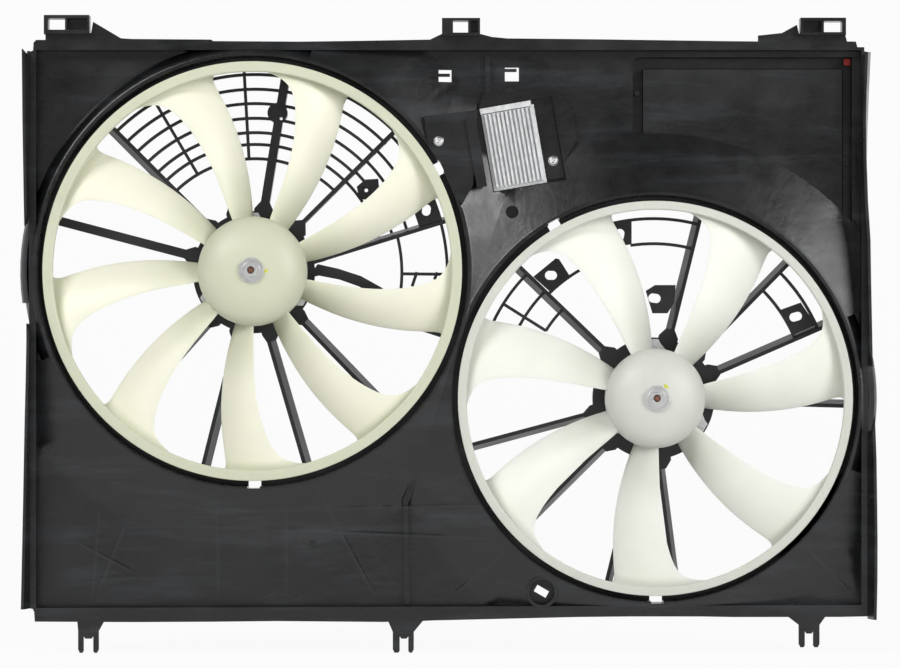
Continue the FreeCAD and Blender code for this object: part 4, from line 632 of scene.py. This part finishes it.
stageSizes = {"halfWidth": 6, "front": -5.0, "bendStart": 2.2, "bendRadius": 0.8, "back": 3.0,
              "top": 4.5, "level": -0.0352, "bendSteps": 20, "white": 0.9, "whiteShare": 0.93}
studio = {"low": 0.80, "high": 0.20, "lowAt": -0.02, "highAt": 0.10}
lights = {
    "keyLight": {"place": (-2.0, -2.6, 2.2), "target": (0, 0, 0.25), "size": (1.6, 1.2), "power": 66.0},
    "fillLight": {"place": (2.4, -2.6, 1.2), "target": (0, 0, 0.2), "size": (1.4, 1.4), "power": 62.0},
}
cameraValues = {"place": (-0.0087, -3.2, 0.1853), "lens": 147.12, "shift": (0.0111, 0.0733), "sensor": 36}


def stagePiece():
    # a floor that curves up into a backdrop behind the object
    v = stageSizes
    x = np.linspace(-v["halfWidth"], v["halfWidth"], 2)[:, None]
    bend = np.linspace(0, np.pi / 2, v["bendSteps"])
    floorY = np.array([v["front"]] + list(v["bendStart"] + v["bendRadius"] * np.sin(bend)) + [v["back"]])
    floorZ = np.array([0.0] + list(v["bendRadius"] - v["bendRadius"] * np.cos(bend)) + [v["top"]])
    floorZ = floorZ + v["level"]
    points = np.stack([x + 0 * floorY[None], floorY[None] + 0 * x, floorZ[None] + 0 * x], -1)
    piece = meshFrom("floorSweep", points, gridFaces(*points.shape[:2]))
    return piece


def backgroundRays(tree):
    # 1 for rays that should meet a plain white background: seen, and mirrored or passed through
    path = addNode(tree, "ShaderNodeLightPath")
    mirrored = addNode(tree, "ShaderNodeMath", {"operation": "MAXIMUM"},
                       {0: path.outputs["Is Glossy Ray"], 1: path.outputs["Is Transmission Ray"]})
    return path.outputs["Is Camera Ray"], mirrored.outputs[0]


def stageMaterial():
    # matt white card that shows white to the camera and keeps a trace of the object's shadow
    v = stageSizes
    material = bpy.data.materials.new("whiteCard")
    material.use_nodes = True
    tree = material.node_tree
    tree.nodes.clear()
    output = addNode(tree, "ShaderNodeOutputMaterial")
    card = addNode(tree, "ShaderNodeBsdfDiffuse", {"Color": (v["white"], v["white"], v["white"], 1)})
    glow = addNode(tree, "ShaderNodeEmission", {"Color": (1, 1, 1, 1), "Strength": 1.0})
    seen, mirrored = backgroundRays(tree)
    white = addNode(tree, "ShaderNodeMath", {"operation": "MAXIMUM"}, {0: seen, 1: mirrored})
    share = addNode(tree, "ShaderNodeMath", {"operation": "MULTIPLY", 1: v["whiteShare"]},
                    {0: white.outputs[0]})
    mixed = addNode(tree, "ShaderNodeMixShader", {},
                    {0: share.outputs[0], 1: card.outputs[0], 2: glow.outputs[0]})
    joinTo(tree, output, {"Surface": mixed.outputs[0]})
    return material


def studioWorld():
    # a room that darkens upwards in front of the object, and plain white behind it
    world = bpy.data.worlds.new("studioWorld")
    world.use_nodes = True
    tree = world.node_tree
    tree.nodes.clear()
    output = addNode(tree, "ShaderNodeOutputWorld")
    seen, mirrored = backgroundRays(tree)
    coordinates = addNode(tree, "ShaderNodeTexCoord")
    direction = addNode(tree, "ShaderNodeSeparateXYZ", {}, {0: coordinates.outputs["Generated"]})
    room = addNode(tree, "ShaderNodeMapRange", spread((studio["lowAt"], studio["highAt"]),
                                                      (studio["low"], studio["high"])),
                   {"Value": direction.outputs["Z"]})
    behind = addNode(tree, "ShaderNodeMath", {"operation": "GREATER_THAN", 1: 0.0},
                     {0: direction.outputs["Y"]})
    mirroredBehind = addNode(tree, "ShaderNodeMath", {"operation": "MULTIPLY"},
                             {0: mirrored, 1: behind.outputs[0]})
    whiteShare = addNode(tree, "ShaderNodeMath", {"operation": "MAXIMUM"},
                         {0: seen, 1: mirroredBehind.outputs[0]})
    soft = addNode(tree, "ShaderNodeBackground", {"Color": (1, 1, 1, 1)}, {"Strength": room.outputs[0]})
    white = addNode(tree, "ShaderNodeBackground", {"Color": (1, 1, 1, 1), "Strength": 1.0})
    mixed = addNode(tree, "ShaderNodeMixShader", {},
                    {0: whiteShare.outputs[0], 1: soft.outputs[0], 2: white.outputs[0]})
    joinTo(tree, output, {"Surface": mixed.outputs[0]})
    return world


def areaLight(name, values):
    data = bpy.data.lights.new(name, "AREA")
    data.shape = "RECTANGLE"
    data.size, data.size_y = values["size"]
    data.energy = values["power"]
    lamp = placeObject(name, data)
    lamp.location = values["place"]
    direction = Vector(np.array(values["target"]) - np.array(values["place"]))
    lamp.rotation_euler = direction.to_track_quat("-Z", "Y").to_euler()


dress(stagePiece(), stageMaterial())
bpy.context.scene.world = studioWorld()
for name, values in lights.items():
    areaLight(name, values)

camera = placeObject("camera", bpy.data.cameras.new("camera"))
camera.location = cameraValues["place"]
camera.rotation_euler = (math.radians(90), 0, 0)
camera.data.lens = cameraValues["lens"]
camera.data.sensor_width = cameraValues["sensor"]
camera.data.shift_x, camera.data.shift_y = cameraValues["shift"]
bpy.context.scene.camera = camera
bpy.context.scene.view_settings.view_transform = "Standard"
print("stage ready")
